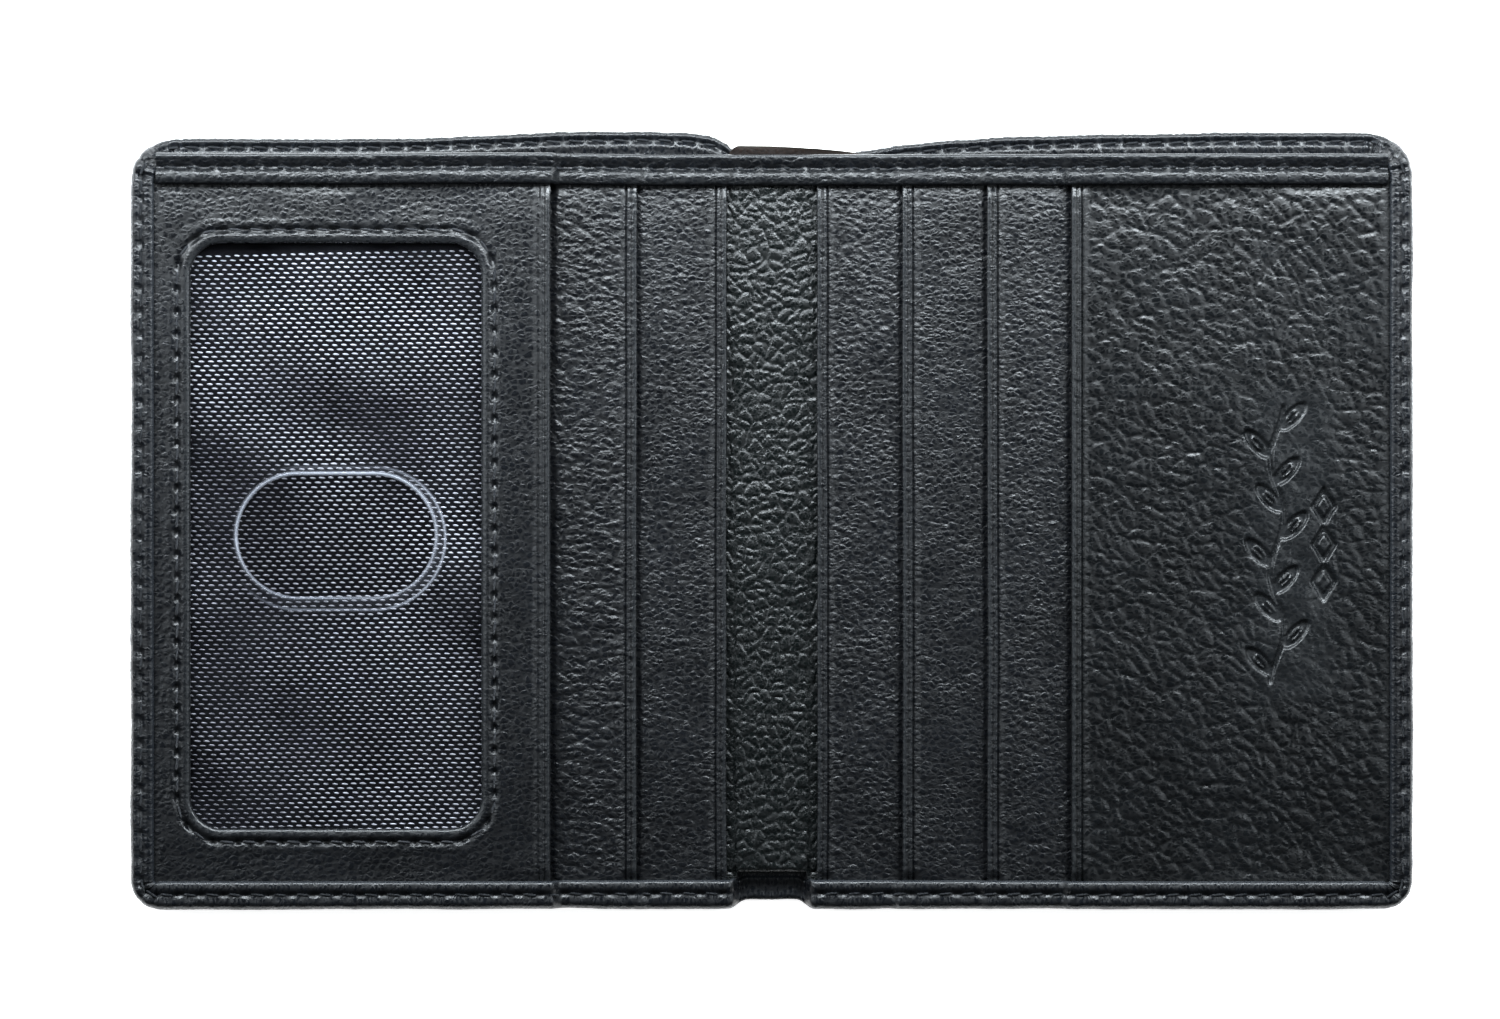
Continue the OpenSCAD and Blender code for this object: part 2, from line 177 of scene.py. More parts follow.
def pillows(x, y, size, stretch, turn, width, seed):
    """Leather grain from 0 in its creases to 1 on its domed cells, about size mm wide."""
    c, s = math.cos(turn), math.sin(turn)
    u, v = (x * c + y * s) / (size * stretch), (y * c - x * s) / size
    u, v = u + 0.3 * noise(u, v, seed + 1), v + 0.3 * noise(u, v, seed + 2)
    climb = np.clip(cell_gap(u, v, seed) / width, 0, 1)
    return np.sqrt(1 - (1 - climb) ** 2)


# Size, stretch, turn and depth of the grain; size, turn and depth of the long creases;
# height of the soft swells; seed. All lengths are in millimetres.
GRAIN = {
    "cover": (1.10, 1.3, 0.5, 0.05, 4.0, 0.9, 0.05, 0.05, 11),
    "outer": (1.70, 1.25, 0.5, 0.17, 4.5, 0.9, 0.08, 0.05, 111),
    "spine": (1.40, 1.15, 0.1, 0.28, 3.4, 0.3, 0.10, 0.10, 21),
    "pocket_left_1": (1.20, 1.3, -0.3, 0.11, 3.6, -0.45, 0.08, 0.14, 31),
    "pocket_left_2": (1.25, 2.2, -0.12, 0.19, 2.6, -0.30, 0.16, 0.14, 41),
    "frame": (0.80, 1.3, 0.1, 0.09, 4.0, 0.2, 0.05, 0.14, 51),
    "pocket_right_1": (1.05, 1.4, -0.5, 0.16, 2.8, -0.8, 0.08, 0.12, 61),
    "pocket_right_2": (1.30, 1.5, 0.2, 0.05, 6.0, 0.15, 0.09, 0.15, 71),
    "pocket_right_3": (1.10, 1.4, 0.4, 0.11, 4.0, 0.9, 0.06, 0.12, 81),
    "panel": (1.70, 1.45, -0.75, 0.21, 2.8, -0.80, 0.20, 0.20, 91),
    "trim": (1.0, 1.4, 1.0, 0.07, 2.4, 1.1, 0.15, 0.05, 101),
}


def relief(x, y, style):
    """Height of a leather surface over its mean level."""
    size, stretch, turn, depth, long_size, long_turn, long_depth, swell, seed = GRAIN[style]
    fine = pillows(x, y, size, stretch, turn, 0.8, seed)
    folds = pillows(x, y, long_size, 2.4, long_turn, 0.2, seed + 3)
    patchy = 0.7 + 0.3 * noise(x / 9, y / 9, seed + 6)
    soft = noise(x / 15, y / 15, seed + 7) + 0.4 * noise(x / 6, y / 6, seed + 8)
    return depth * (fine - 0.8) + long_depth * patchy * (folds - 1) + swell * soft


def seam(across, phase, depth=0.5):
    """Depth of a sewn line: a groove, and a hole between one stitch and the next."""
    hole = rise(np.abs(phase), 0.31, 0.09)
    return 0.15 * bump_at(across, 0, 0.42) + depth * bump_at(across, 0, 0.34) * hole


def bitten_seam(across, phase):
    """Depth of a sewn line whose stitches are drawn down into the leather."""
    stitch = fall(np.abs(phase), 0.43, 0.09)
    return 0.10 * bump_at(across, 0, 0.5) + 0.34 * bump_at(across, 0, 0.33) * stitch


def stitch_phase(s, start):
    """Place along a row of stitches, from -0.5 to 0.5 with 0 at a stitch's middle."""
    turns = (s - start) / STITCH_PITCH
    return turns - np.floor(turns) - 0.5


# ---- mesh building ----


def cells(index):
    """The four corners of every cell in a grid of point numbers."""
    corners = [index[..., :-1, :-1], index[..., :-1, 1:], index[..., 1:, 1:], index[..., 1:, :-1]]
    return np.stack(corners, axis=-1).reshape(-1, 4)


def rim_of(index):
    """The point numbers round the edge of a grid."""
    sides = [index[..., 0, :], index[..., 1:, -1], index[..., -1, -2::-1], index[..., -2:0:-1, 0]]
    return np.concatenate(sides, axis=-1)


def looped(row):
    return np.append(row, row[0])


class Shape:
    """Points, faces, texture places, and wear with painted highlights and sheen, of one mesh being
    made.
    """

    def __init__(self):
        self.points, self.uvs, self.wear = [], [], []
        self.quads, self.caps, self.count = [], [], 0

    def add(self, x, y, z, u, v, wear):
        """Adds points, and returns their numbers in the same arrangement."""
        x, y, z, u, v, wear = np.broadcast_arrays(x, y, z, u, v, wear)
        self.points.append(np.stack([x, y, z], axis=-1).reshape(-1, 3))
        self.uvs.append(np.stack([u, v], axis=-1).reshape(-1, 2))
        self.wear.append(wear.reshape(-1))
        self.count += x.size
        return self.count - x.size + np.arange(x.size).reshape(x.shape)

    def grid(self, x, y, z, u=None, v=None, wear=0.0, wrap=False):
        """Adds a grid of points and its faces. wrap joins its last column to its first."""
        x, y, z = np.broadcast_arrays(x, y, z)
        index = self.add(x, y, z, x if u is None else u, y if v is None else v, wear)
        self.quads.append(cells(np.hstack([index, index[:, :1]]) if wrap else index))
        return index

    def tube(self, *places, **named):
        """A grid that wraps, closed with a cap at its first and last row."""
        index = self.grid(*places, wrap=True, **named)
        self.caps += [index[0].tolist(), index[-1].tolist()]

    def slab(self, x, y, low, high, wear=0.0, wrap=False):
        """A closed sheet between two height fields over one grid of places."""
        x, y, low, high, wear = np.broadcast_arrays(x, y, low, high, wear)
        over = self.grid(x, y, high, wear=wear, wrap=wrap)
        under = self.grid(x, y, low, wear=wear, wrap=wrap)
        rims = [(over[0], under[0]), (over[-1], under[-1])]
        if wrap:
            rims = [(looped(a), looped(b)) for a, b in rims]
        else:
            rims += [(over[:, 0], under[:, 0]), (over[:, -1], under[:, -1])]
        self.quads += [cells(np.stack(pair)) for pair in rims]

    def plate(self, x, y, low, high, wear=0.0):
        """A closed sheet with a modelled upper face and one flat lower face at a height."""
        x, y, high = np.broadcast_arrays(x, y, high)
        rim = rim_of(self.grid(x, y, high, wear=wear))
        places = np.concatenate(self.points)[rim]
        below = self.add(places[:, 0], places[:, 1], low, places[:, 0], places[:, 1], 0.0)
        self.quads.append(cells(np.stack([looped(rim), looped(below)])))
        self.caps.append(below.tolist())

    def build(self, name, side, material):
        points = np.concatenate(self.points) * MM
        points[:, 0] *= side
        faces = np.concatenate(self.quads).tolist() + self.caps
        mesh = bpy.data.meshes.new(name)
        mesh.from_pydata(points.tolist(), [], faces)
        places = np.empty(len(mesh.loops), int)
        mesh.loops.foreach_get("vertex_index", places)
        uv = mesh.uv_layers.new(name="grain")
        uv.data.foreach_set("uv", np.concatenate(self.uvs)[places].astype(np.float32).ravel())
        # A float on each point: worn polish together with painted highlights and painted sheen,
        # which the materials turn into a lighter colour.
        wear = mesh.attributes.new("wear", "FLOAT", "POINT")
        wear.data.foreach_set("value", np.concatenate(self.wear).astype(np.float32))
        tidy = bmesh.new()
        tidy.from_mesh(mesh)
        bmesh.ops.recalc_face_normals(tidy, faces=tidy.faces)
        tidy.to_mesh(mesh)
        tidy.free()
        mesh.shade_smooth()
        mesh.set_sharp_from_angle(angle=math.radians(62))
        mesh.materials.append(material)
        piece = bpy.data.objects.new(name, mesh)
        bpy.context.scene.collection.objects.link(piece)
        return piece

    def rigid(self, name, side, material, slot, node):
        """Builds a piece that moves with its leaf, in place of a CAD node."""
        piece = self.build(name, side, material)
        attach(piece, LEAF[side])
        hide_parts(node)
        return piece

    def folding(self, name, side, material, slot, *nodes):
        """Builds a half sheet that runs across its fold line, in place of CAD nodes."""
        piece = self.build(name, side, material)
        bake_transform(piece)
        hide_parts(*nodes)
        return piece


def spread(stops, steps):
    """Points through the given stops, with a step for each stretch between them."""
    parts = [
        np.linspace(a, b, max(2, round(abs(b - a) / step) + 1))[:-1]
        for a, b, step in zip(stops, stops[1:], steps)
    ]
    return np.concatenate(parts + [[stops[-1]]])


# ---- shapes that several pieces share ----

# A pocket mouth: how far in its two creases lie, and how far its nose curves round
CREASE_IN, SECOND_IN = 1.45, 0.8
NOSE_R = 0.3


def drape(x, side):
    """Height of the surface that a strip lies on, which steps up over the pocket mouths."""
    z = np.full(np.shape(x), FOLD_Z)
    for mouth, low, high in zip(MOUTHS[side], STEPS[side], STEPS[side][1:]):
        z = z + (high - low) * rise(x, mouth - 1.4, 1.3)
    return z


def under_strips(y):
    """1 in the open part of a leaf, 0 where the trim or the bottom border lies on it."""
    return fall(y, TRIM_LOW, 1.6) * rise(y, BOTTOM_IN, 1.4)


def under_border(x, y):
    """1 in the open part of a leaf's outer layer, 0 under the trim and the borders."""
    return under_strips(y) * fall(x, STRIP_X - 0.1, 1.2)


def dip(y):
    """How far the pockets' leather is drawn down on its way in under the trim."""
    return 0.16 * rise(y, TRIM_LOW - 5.0, 5.0)


def mouth_shape(dx, box, lift):
    """Lower and upper face of leather at a distance dx in from its turned, creased mouth."""
    low, top = box[0][2] + 0.02, box[1][2] - 0.03
    lifted = lift * (1 - rise(dx, 1.2, 1.3))
    crease = 0.28 * bump_at(dx, CREASE_IN, 0.14) + 0.17 * bump_at(dx, SECOND_IN, 0.12)
    upper = top + lifted + 0.05 * bump_at(dx, 0.25, 0.25) - crease
    lower = low + 0.75 * lifted
    middle = lower + 0.55 * (upper - lower)
    nose = np.sqrt(np.clip(1 - (1 - np.clip(dx / NOSE_R, 0, 1)) ** 2, 0.002, 1))
    return middle + (lower - middle) * nose, middle + (upper - middle) * nose


def mouth_grain(x, y, dx, side, style):
    """The grain of leather with a mouth, fainter over its turned edge."""
    faint = mix(0.35, 1, rise(dx, 1.8, 0.8)) * np.clip(dx / NOSE_R, 0, 1)
    return relief(x * side, y, style) * faint


def mouth_wear(dx):
    """Polish with a painted highlight on the crest of a mouth and along its crease: it lightens the
    colour there.
    """
    return 0.85 * bump_at(dx, 0.28, 0.22) + 0.35 * bump_at(dx, 1.12, 0.22)


def leaf_end(y, reach):
    """How far out a layer of a given reach comes at a height, with its corners rounded."""
    inset = HALF_W - reach
    low_r, high_r = LOW_R - inset / 2, HIGH_R - inset / 2
    low, high = -HALF_H + inset + low_r, HALF_H - inset - high_r
    cut = np.where(y < low, low_r - np.sqrt(np.clip(low_r**2 - (low - y) ** 2, 0, None)), 0)
    over = np.clip(y - high, 0, high_r)
    return reach - cut - (high_r - np.sqrt(high_r**2 - over**2))


def fit_corners(x, y, reach, edge):
    """Draws in the places near a layer's outer edge, so that they keep to its corners."""
    start = 78.0
    end = leaf_end(y, reach) - 0.03
    return np.where(x > start, mix(start, end, (x - start) / (edge - start)), x)


def low_edge(kind, x):
    """Lower edge of a layer that crosses the fold: it is shorter over the spine."""
    return mix(box_mm(kind + "_spine")[0][1], box_mm(kind + "_right")[0][1],
               rise(x, FOLD_X + 0.3, 0.8))


# ---- the turned edge of the cover ----

# The cut-away at the bottom of the spine: where it starts, and the cover's height in it
NOTCH_X, NOTCH_Z = 4.3, 1.3
# How far in from the edge the stitches run, along the sides, the bottom and the hem
SIDE_IN, LOW_IN, HEM_IN = 1.6, 2.1, 1.25
HEM_W, HEM_RISE = 4.6, 0.3
# The margin of the cover's outer face that is part of the edge
MARGIN = 3.2
STRIP_COLS, WALL_COLS, MARGIN_COLS = 26, 24, 14
# The hem's edge line: places out from the centre, and heights over the cover's top edge
HEM_LINE = {
    RIGHT: ((0, -2.6), (9, -2.6), (11.5, -1.8), (17, -0.9), (24, -0.1), (31, 0.2), (44, 0.5),
            (64, 0.8), (85, 0.8)),
    LEFT: ((0, -2.6), (4.3, -2.5), (4.9, -1.8), (6, -0.7), (8, 0.3), (11, 0.8), (16, 1.0),
           (28, 0.8), (50, 0.0), (85, 0.0)),
}


def hem_y(x, side):
    """Height of the hem's edge, rounded off between the places of its line."""
    places, rises = np.array(HEM_LINE[side]).T
    shifts = np.linspace(-0.8, 0.8, 9)[:, None] * np.clip(np.ravel(x) / 12, 0.35, 2.5)
    line = np.interp(np.ravel(x) + shifts, places, rises).mean(axis=0)
    return HALF_H + line.reshape(np.shape(x))


def arc(x, y, radius, angle):
    """Places round a corner, and the way inward from each."""
    c, s = np.cos(angle), np.sin(angle)
    return x + radius * c, y + radius * s, -c, -s


def fan(turn, count):
    """Pleats round a corner."""
    return (0.5 - 0.5 * np.cos(4 * turn * count)) ** 3


def edge_path(side):
    """Stations round one leaf, from the middle of the bottom to the middle of the top."""
    low_x = spread([0, 3.2, 6.8, HALF_W - LOW_R], [0.4, 0.1, 0.36])
    raised = fall(low_x, 5.8, 2.6)
    high_y = hem_y(np.array(HALF_W - HIGH_R), side) - HIGH_R
    side_y = spread([-HALF_H + LOW_R, high_y], [0.36])[1:]
    quarter = np.pi / 2
    turn_low = np.linspace(0, quarter, 26)[1:]
    turn_high = np.linspace(0, quarter, 44)[1:]
    high_x = spread([HALF_W - HIGH_R, 0], [0.2])[1:]
    past_notch = rise(low_x, NOTCH_X, 0.9)
    climb = rise(turn_high, 0.35, 1.1)
    round_low = turn_low / quarter
    hem_z = HEM_Z + HEM_RISE
    parts = [  # x, y, inward x, inward y, height, width, stitch line, pleats
        (low_x, raised - HALF_H, 0, 1, mix(NOTCH_Z, drape(low_x, side) + TURNED, past_notch),
         mix(3.3, BOTTOM_W, past_notch), LOW_IN, 0),
        (*arc(HALF_W - LOW_R, LOW_R - HALF_H, LOW_R, turn_low - quarter), BORDER_Z,
         mix(BOTTOM_W, SIDE_W, round_low), mix(LOW_IN, SIDE_IN, round_low),
         0.22 * fan(turn_low, 3)),
        (HALF_W, side_y, -1, 0, BORDER_Z, SIDE_W, SIDE_IN, 0),
        (*arc(HALF_W - HIGH_R, high_y, HIGH_R, turn_high), mix(BORDER_Z, hem_z, climb),
         mix(SIDE_W, HEM_W, climb), mix(SIDE_IN, HEM_IN, climb), 0.34 * fan(turn_high, 4)),
        (high_x, hem_y(high_x, side), 0, -1, hem_z, HEM_W, HEM_IN, 0),
    ]
    values = np.hstack([np.stack(np.broadcast_arrays(*part)) for part in parts])
    step = np.hypot(np.diff(values[0]), np.diff(values[1]))
    return np.vstack([values, np.concatenate([[0], np.cumsum(step)])])


def is_hem(x, in_y):
    return (in_y < -0.9) & (x < HALF_W - HIGH_R)


def cover_edge(side, material):
    """The turned strip on the inner face, the rounded outer wall, and the margin below.
    Its section is a loop of places d in from the edge and z up, at each station."""
    x, y, in_x, in_y, height, width, stitch_in, pleat, s = edge_path(side)[:, :, None]
    deep = 0.75 + 0.4 * rise(height, 2, 3)
    phase = stitch_phase(s, FIRST_STITCH)
    hem = is_hem(x, in_y)
    sewn = rise(np.abs(x), 5.0, 0.6)

    strip_d = mix(width, deep, np.linspace(0, 1, STRIP_COLS))
    from_lip = width - strip_d
    crown = 0.13 * bump_at(strip_d, stitch_in + 0.85, 0.55) + 0.10 * bump_at(strip_d, 0.6, 0.6)
    strip_z = height + crown - 0.45 * np.exp(-from_lip / 0.16)
    across = strip_d - stitch_in
    drop = np.where(hem, bitten_seam(across, phase), seam(across, phase, 0.25)) * sewn

    turn = np.linspace(0, np.pi, WALL_COLS + 1)[1:]
    wall_d = deep * (1 - np.sin(turn) ** 0.75)
    wall_z = strip_z[:, -1:] / 2 * (1 + np.sign(np.cos(turn)) * np.abs(np.cos(turn)) ** 0.8)

    margin_d = mix(deep, MARGIN, np.linspace(0, 1, MARGIN_COLS + 1)[1:])
    margin_z = seam(margin_d - stitch_in, phase, 0.2) * sewn

    d = np.hstack([strip_d, wall_d, margin_d])
    z = np.hstack([strip_z, wall_z, margin_z])
    slope_d, slope_z = np.gradient(d, axis=1), np.gradient(z, axis=1)
    size = np.hypot(slope_d, slope_z) + 1e-9
    steps = np.hypot(np.diff(d, axis=1, prepend=d[:, :1]), np.diff(z, axis=1, prepend=z[:, :1]))
    girth = np.cumsum(steps, axis=1)
    along = s * side
    high = relief(along, girth, "cover") * np.where(hem, 1.0, 0.5)
    pucker = noise(along / 0.42 + 1.1 * d + noise(along / 3, girth / 3, 7), girth / 3.5, 8)
    high = high + np.where(hem, 0.085, 0.02) * pucker
    puff = 0.5 + 0.5 * np.cos(2 * np.pi * (phase + 0.06 * noise(along / 2, 0, 27)))
    high = high + 0.16 * (puff - 0.6) * bump_at(d, 0.85, 0.55) * ~hem
    high = high - pleat * bump_at(d, 1.9, 1.5)
    column = np.arange(d.shape[1])
    high = high * (column < STRIP_COLS + WALL_COLS) * np.clip(column / 2, 0, 1)
    d = d + high * slope_z / size
    z = z - high * slope_d / size
    z[:, :STRIP_COLS] -= drop
    z = np.maximum(z, 0.0)

    # Back up inside the leather, to close the loop
    d = np.hstack([d, np.full_like(deep, MARGIN), deep + 0.15, deep + 0.15, width])
    z = np.hstack([z, np.full_like(deep, 0.35), np.full_like(deep, 0.5),
                   height - 0.62, height - 0.55])
    girth = np.hstack([girth, girth[:, -1:] + np.linspace(0.5, 9, 4)])
    wobble = 0.10 * noise(along / 9, 0, 5) + 0.05 * noise(along / 2.5, 0, 6)
    far = d - wobble * np.exp(-d / 2)
    # Worn polish with a painted highlight along the turned lip and the strip's crown: the colour
    # lightens there.
    wear = np.zeros_like(d)
    wear[:, :STRIP_COLS] = 0.8 * bump_at(from_lip, 0, 0.35) + 0.25 * bump_at(strip_d, 0.6, 0.6)
    shape = Shape()
    shape.tube(x + in_x * far, y + in_y * far, z, s, girth, wear=wear)
    word = WORD[side]
    shape.folding("cover_edge_" + word, side, material, "cover_leather", "side_border_" + word,
                  "bottom_border_" + word, "hem_" + word, "hem_spine")


def cover_sheet(side, material):
    """The cover between its turned edges, with its grain on the outer face."""
    inset = 2.8
    t = spread([0, BEND + FOLD_X, 85], [0.43, 0.45]) / 85
    rows = spread([-HALF_H + inset + 1.0, HALF_H - inset - 2.6], [0.43])[:, None]
    x = t * (HALF_W - inset - 1.0)
    top = np.minimum(hem_y(x, side) - inset, HALF_H - 2.3)
    y = mix(-HALF_H + inset, top, (rows - rows[0]) / (rows[-1] - rows[0]))
    low = 0.06 - relief(x * side, y, "outer")
    inner = COVER_T - 0.08 + 0.03 * noise(x / 5, y / 5, 9)
    shape = Shape()
    shape.slab(x, y, np.clip(low, 0.01, 0.3), inner)
    shape.folding("cover_" + WORD[side], side, material, "cover_leather",
                  "shell_" + WORD[side], "shell_spine")


# ---- flat layers across the fold ----

# Gap between a layer's rounded end and the border's
END_GAP = 0.05
LAYERS = {  # node's first words: slot, waviness in mm, and what it lies on
    "rfid_foil": ("shielding_foil", 0.02, "cover_"),
    "bill_lining": ("lining_fabric", 0.04, "rfid_foil_sheet_"),
    "inner_lining": ("lining_fabric", 0.03, "bill_divider_"),
}


def layer(kind, side, material):
    slot, wave, below = LAYERS[kind]
    low, high = box_mm(kind + "_right")
    t = spread([0, BEND + FOLD_X, 84], [0.45, 1.6]) / 84
    y = mix(low_edge(kind, t * high[0]), high[1], np.linspace(0, 1, 64)[:, None])
    x = t * (leaf_end(y, high[0]) - END_GAP)
    ripple = wave * noise(x * side / 7, y / 7, 13)
    shape = Shape()
    shape.slab(x, y, low[2] + 0.01 + ripple, high[2] - 0.02 + ripple)
    piece = shape.folding(kind + "_sheet_" + WORD[side], side, material, slot,
                          kind + "_" + WORD[side], kind + "_spine")


# The divider's top edge: places out from the centre, and heights over the trim's edge
DIVIDER_LINE = {
    RIGHT: ((0, 1.15), (3, 1.0), (7, 0.75), (10.5, 0.45), (12.5, 0.1), (14, -0.4)),
    LEFT: ((0, 1.15), (4.7, 1.2), (5.4, 0.9), (6.2, -0.4)),
}


def divider(side, material):
    """The leather divider of the bill compartment, whose edge shows over the spine."""
    low, high = box_mm("divider_right")
    t = spread([0, 16, 84], [0.25, 1.2]) / 84
    x = t * (high[0] - END_GAP)
    over = np.interp(x, *np.array(DIVIDER_LINE[side]).T)
    top = TRIM_TOP + over
    y = mix(low_edge("divider", x), top, np.linspace(0, 1, 90)[:, None] ** 0.6)
    x = t * (leaf_end(y, high[0]) - END_GAP)
    edge = rise(y, top - 0.25, 0.25)
    shift = 0.05 * noise(x * side / 6, y / 6, 17) + 0.8 * rise(y, TRIM_TOP, 0.8) * (over > -0.3)
    grain = 0.04 * pillows(x * side, y, 0.7, 1.2, 0.2, 0.4, 18)
    shape = Shape()
    # The top edge is drawn down a little and lightened: worn polish with a painted highlight.
    shape.slab(x, y, low[2] + 0.02 + shift, high[2] - 0.03 + shift + grain - 0.1 * edge,
               wear=0.5 * edge)
    shape.folding("bill_divider_" + WORD[side], side, material, "divider_leather",
                  "divider_" + WORD[side], "divider_spine")


def base_leather(side, material):
    """The pebbled leather of the inner wall, seen along the spine."""
    low, high = box_mm("base_leather_right")
    shown = MOUTHS[side][0] + 1.5
    t = spread([0, shown, 84], [0.13, 1.6]) / 84
    x = t * (high[0] - 0.1)
    y = mix(low_edge("base_leather", x), high[1] - 0.3, spread([0, 1], [0.0022])[:, None])
    seen = fall(x, shown, 0.5) * rise(y, SPINE_LOW, 0.5)
    top = high[2] - 0.12 + relief(x * side, y, "spine") * seen - 0.12 * (1 - seen)
    top = np.where(x > shown, np.minimum(top, high[2] - 0.05), top)
    top = top - 0.25 * np.exp(-np.abs(y - SPINE_LOW) / 0.2)
    x = t * (leaf_end(y, high[0]) - END_GAP)
    shape = Shape()
    shape.slab(x, y, low[2] + 0.02, top)
    shape.folding("base_" + WORD[side], side, material, "inner_leather",
                  "base_leather_" + WORD[side], "base_leather_spine")


# How far below the trim's top edge its stitches run
TRIM_IN = 1.95


def trim(side, material):
    """The rolled and stitched strip along the top of the pockets."""
    x = spread([0, TRIM_END - 0.25], [0.3])[:, None]
    y = mix(TRIM_LOW, TRIM_TOP, np.linspace(0, 1, 34))
    base = drape(x, side)
    into = TRIM_TOP - y
    crown = 0.16 * bump_at(into, 0.45, 0.5) + 0.20 * bump_at(into, 3.1, 0.8)
    valley = 0.16 * bump_at(into, TRIM_IN - 0.35, 0.6)
    lip = 0.45 * np.exp(-(y - TRIM_LOW) / 0.13) + 0.5 * np.exp(-into / 0.12)
    along = x * side
    grain = relief(along, y, "trim") + 0.05 * noise(along / 1.1, y / 2.5, 19)
    phase = stitch_phase(x, STITCH_PITCH / 2)
    high = base + TURNED + crown - valley - lip - bitten_seam(into - TRIM_IN, phase) + grain
    low = np.maximum(high - 0.5, base + 0.02)
    # Worn polish with a painted highlight along the rolled top edge and the lower crown: the colour
    # lightens there.
    wear = 0.7 * bump_at(into, 0.3, 0.35) + 0.3 * bump_at(into, 3.1, 0.8)
    shape = Shape()
    shape.slab(x, y + 0.10 * noise(along / 14, 0, 20), low, np.maximum(high, low + 0.04), wear)
    shape.folding("trim_" + WORD[side], side, material, "inner_leather",
                  "top_trim_" + WORD[side], "top_trim_spine")


# ---- pockets ----


def facing(side, number, material):
    """The strip of leather that shows between one pocket mouth and the next."""
    node = MOUTHED[side][number - 1]
    mouth, following = MOUTHS[side][number - 1:number + 1]
    far = following + 2.0
    x = spread([mouth, mouth + 0.35, mouth + 1.8, following + 0.2, far],
               [0.05, 0.07, 0.20, 0.5])[:, None]
    y = spread([LAYER_LOW, LAYER_TOP], [0.22])
    dx = x - mouth
    free = under_strips(y)
    under, over = mouth_shape(dx, box_mm(node), (0.40 + 0.06 * noise(y / 12, number, 23)) * free)
    over = over + mouth_grain(x, y, dx, side, node) * fall(x, following - 0.1, 1.0) * free
    over = over - 0.26 * bump_at(x, following + 0.1, 0.6) - 0.06 * (1 - free)
    under, over = under - dip(y), over - dip(y)
    over = np.where(dx > 1, np.maximum(over, under + 0.05), over)
    sway = 0.12 * noise(y / 17, number + 0.5, 24) * fall(x, far, 9)
    shape = Shape()
    shape.slab(x + sway, y, under, over, wear=mouth_wear(dx))
    shape.rigid("facing_" + WORD[side] + "_" + str(number), side, material,
                "inner_leather", node)


def pocket_lining(node, side, material):
    """The lining sewn to a facing's tucked end, which forms the back of the next pocket."""
    low, high = box_mm(node)
    near, far = (low[0], high[0]) if side == RIGHT else (-high[0], -low[0])
    y = np.linspace(low[1], high[1], 70)
    x = mix(near, leaf_end(y, far) - 0.02, np.linspace(0, 1, 40)[:, None])
    ripple = 0.02 * noise(x / 8, y / 8, 29)
    weave = 0.008 * np.sin(x * 9) * np.sin(y * 9)
    shape = Shape()
    shape.slab(x, y, low[2] + 0.025 + ripple, high[2] - 0.03 + ripple + weave)
    piece = shape.rigid(node + "_sheet", side, material, "lining_fabric", node)


# The pressed mark: its middle, half its length, its stem's sway and the sway's wavelength
MARK_X, MARK_Y, MARK_HALF = 66.8, -2.8, 18.8
SWAY, SWAY_LENGTH = 0.9, 15.0
LEAVES, FIRST_LEAF, LEAF_PITCH, LEAF_TILT = 10, -16.4, 3.6, 0.75
LEAF_SIZE = (1.75, 0.72)
DIAMOND_X, DIAMOND_SIZE = 73.0, (1.3, 2.1)


def stroke(distance, width):
    """Depth of a pressed line at a distance from its middle."""
    return np.exp(-((distance / width) ** 4))


def pressed_mark(x, y):
    """Depth of the pressed mark: a leafy stem along Y, beside three diamonds."""
    off, along = x - MARK_X, y - MARK_Y
    stem = SWAY * np.sin(along / SWAY_LENGTH * 2 * np.pi)
    deep = stroke(off - stem, 0.30) * fall(np.abs(along), MARK_HALF, 1.0)
    for number in range(LEAVES):
        out = 1 if number % 2 else -1
        at = FIRST_LEAF + LEAF_PITCH * number
        right = off - SWAY * math.sin(at / SWAY_LENGTH * 2 * math.pi) - out * LEAF_SIZE[0]
        up = along - at - 0.9
        c, s = math.cos(LEAF_TILT), out * math.sin(LEAF_TILT)
        u, v = right * s + up * c, right * c - up * s
        outline = (np.hypot(u / LEAF_SIZE[0], v / LEAF_SIZE[1]) - 1) * LEAF_SIZE[1]
        vein = np.hypot(v, np.clip(np.abs(u) - 1.2, 0, None))
        deep = np.maximum(deep, np.maximum(stroke(outline, 0.26), 0.7 * stroke(vein, 0.20)))
    for middle in (-5.0, 0.0, 5.0):
        across = np.abs(x - DIAMOND_X) / DIAMOND_SIZE[0]
        outline = (across + np.abs(along - middle) / DIAMOND_SIZE[1] - 1) * 1.1
        deep = np.maximum(deep, stroke(outline, 0.34))
    return deep


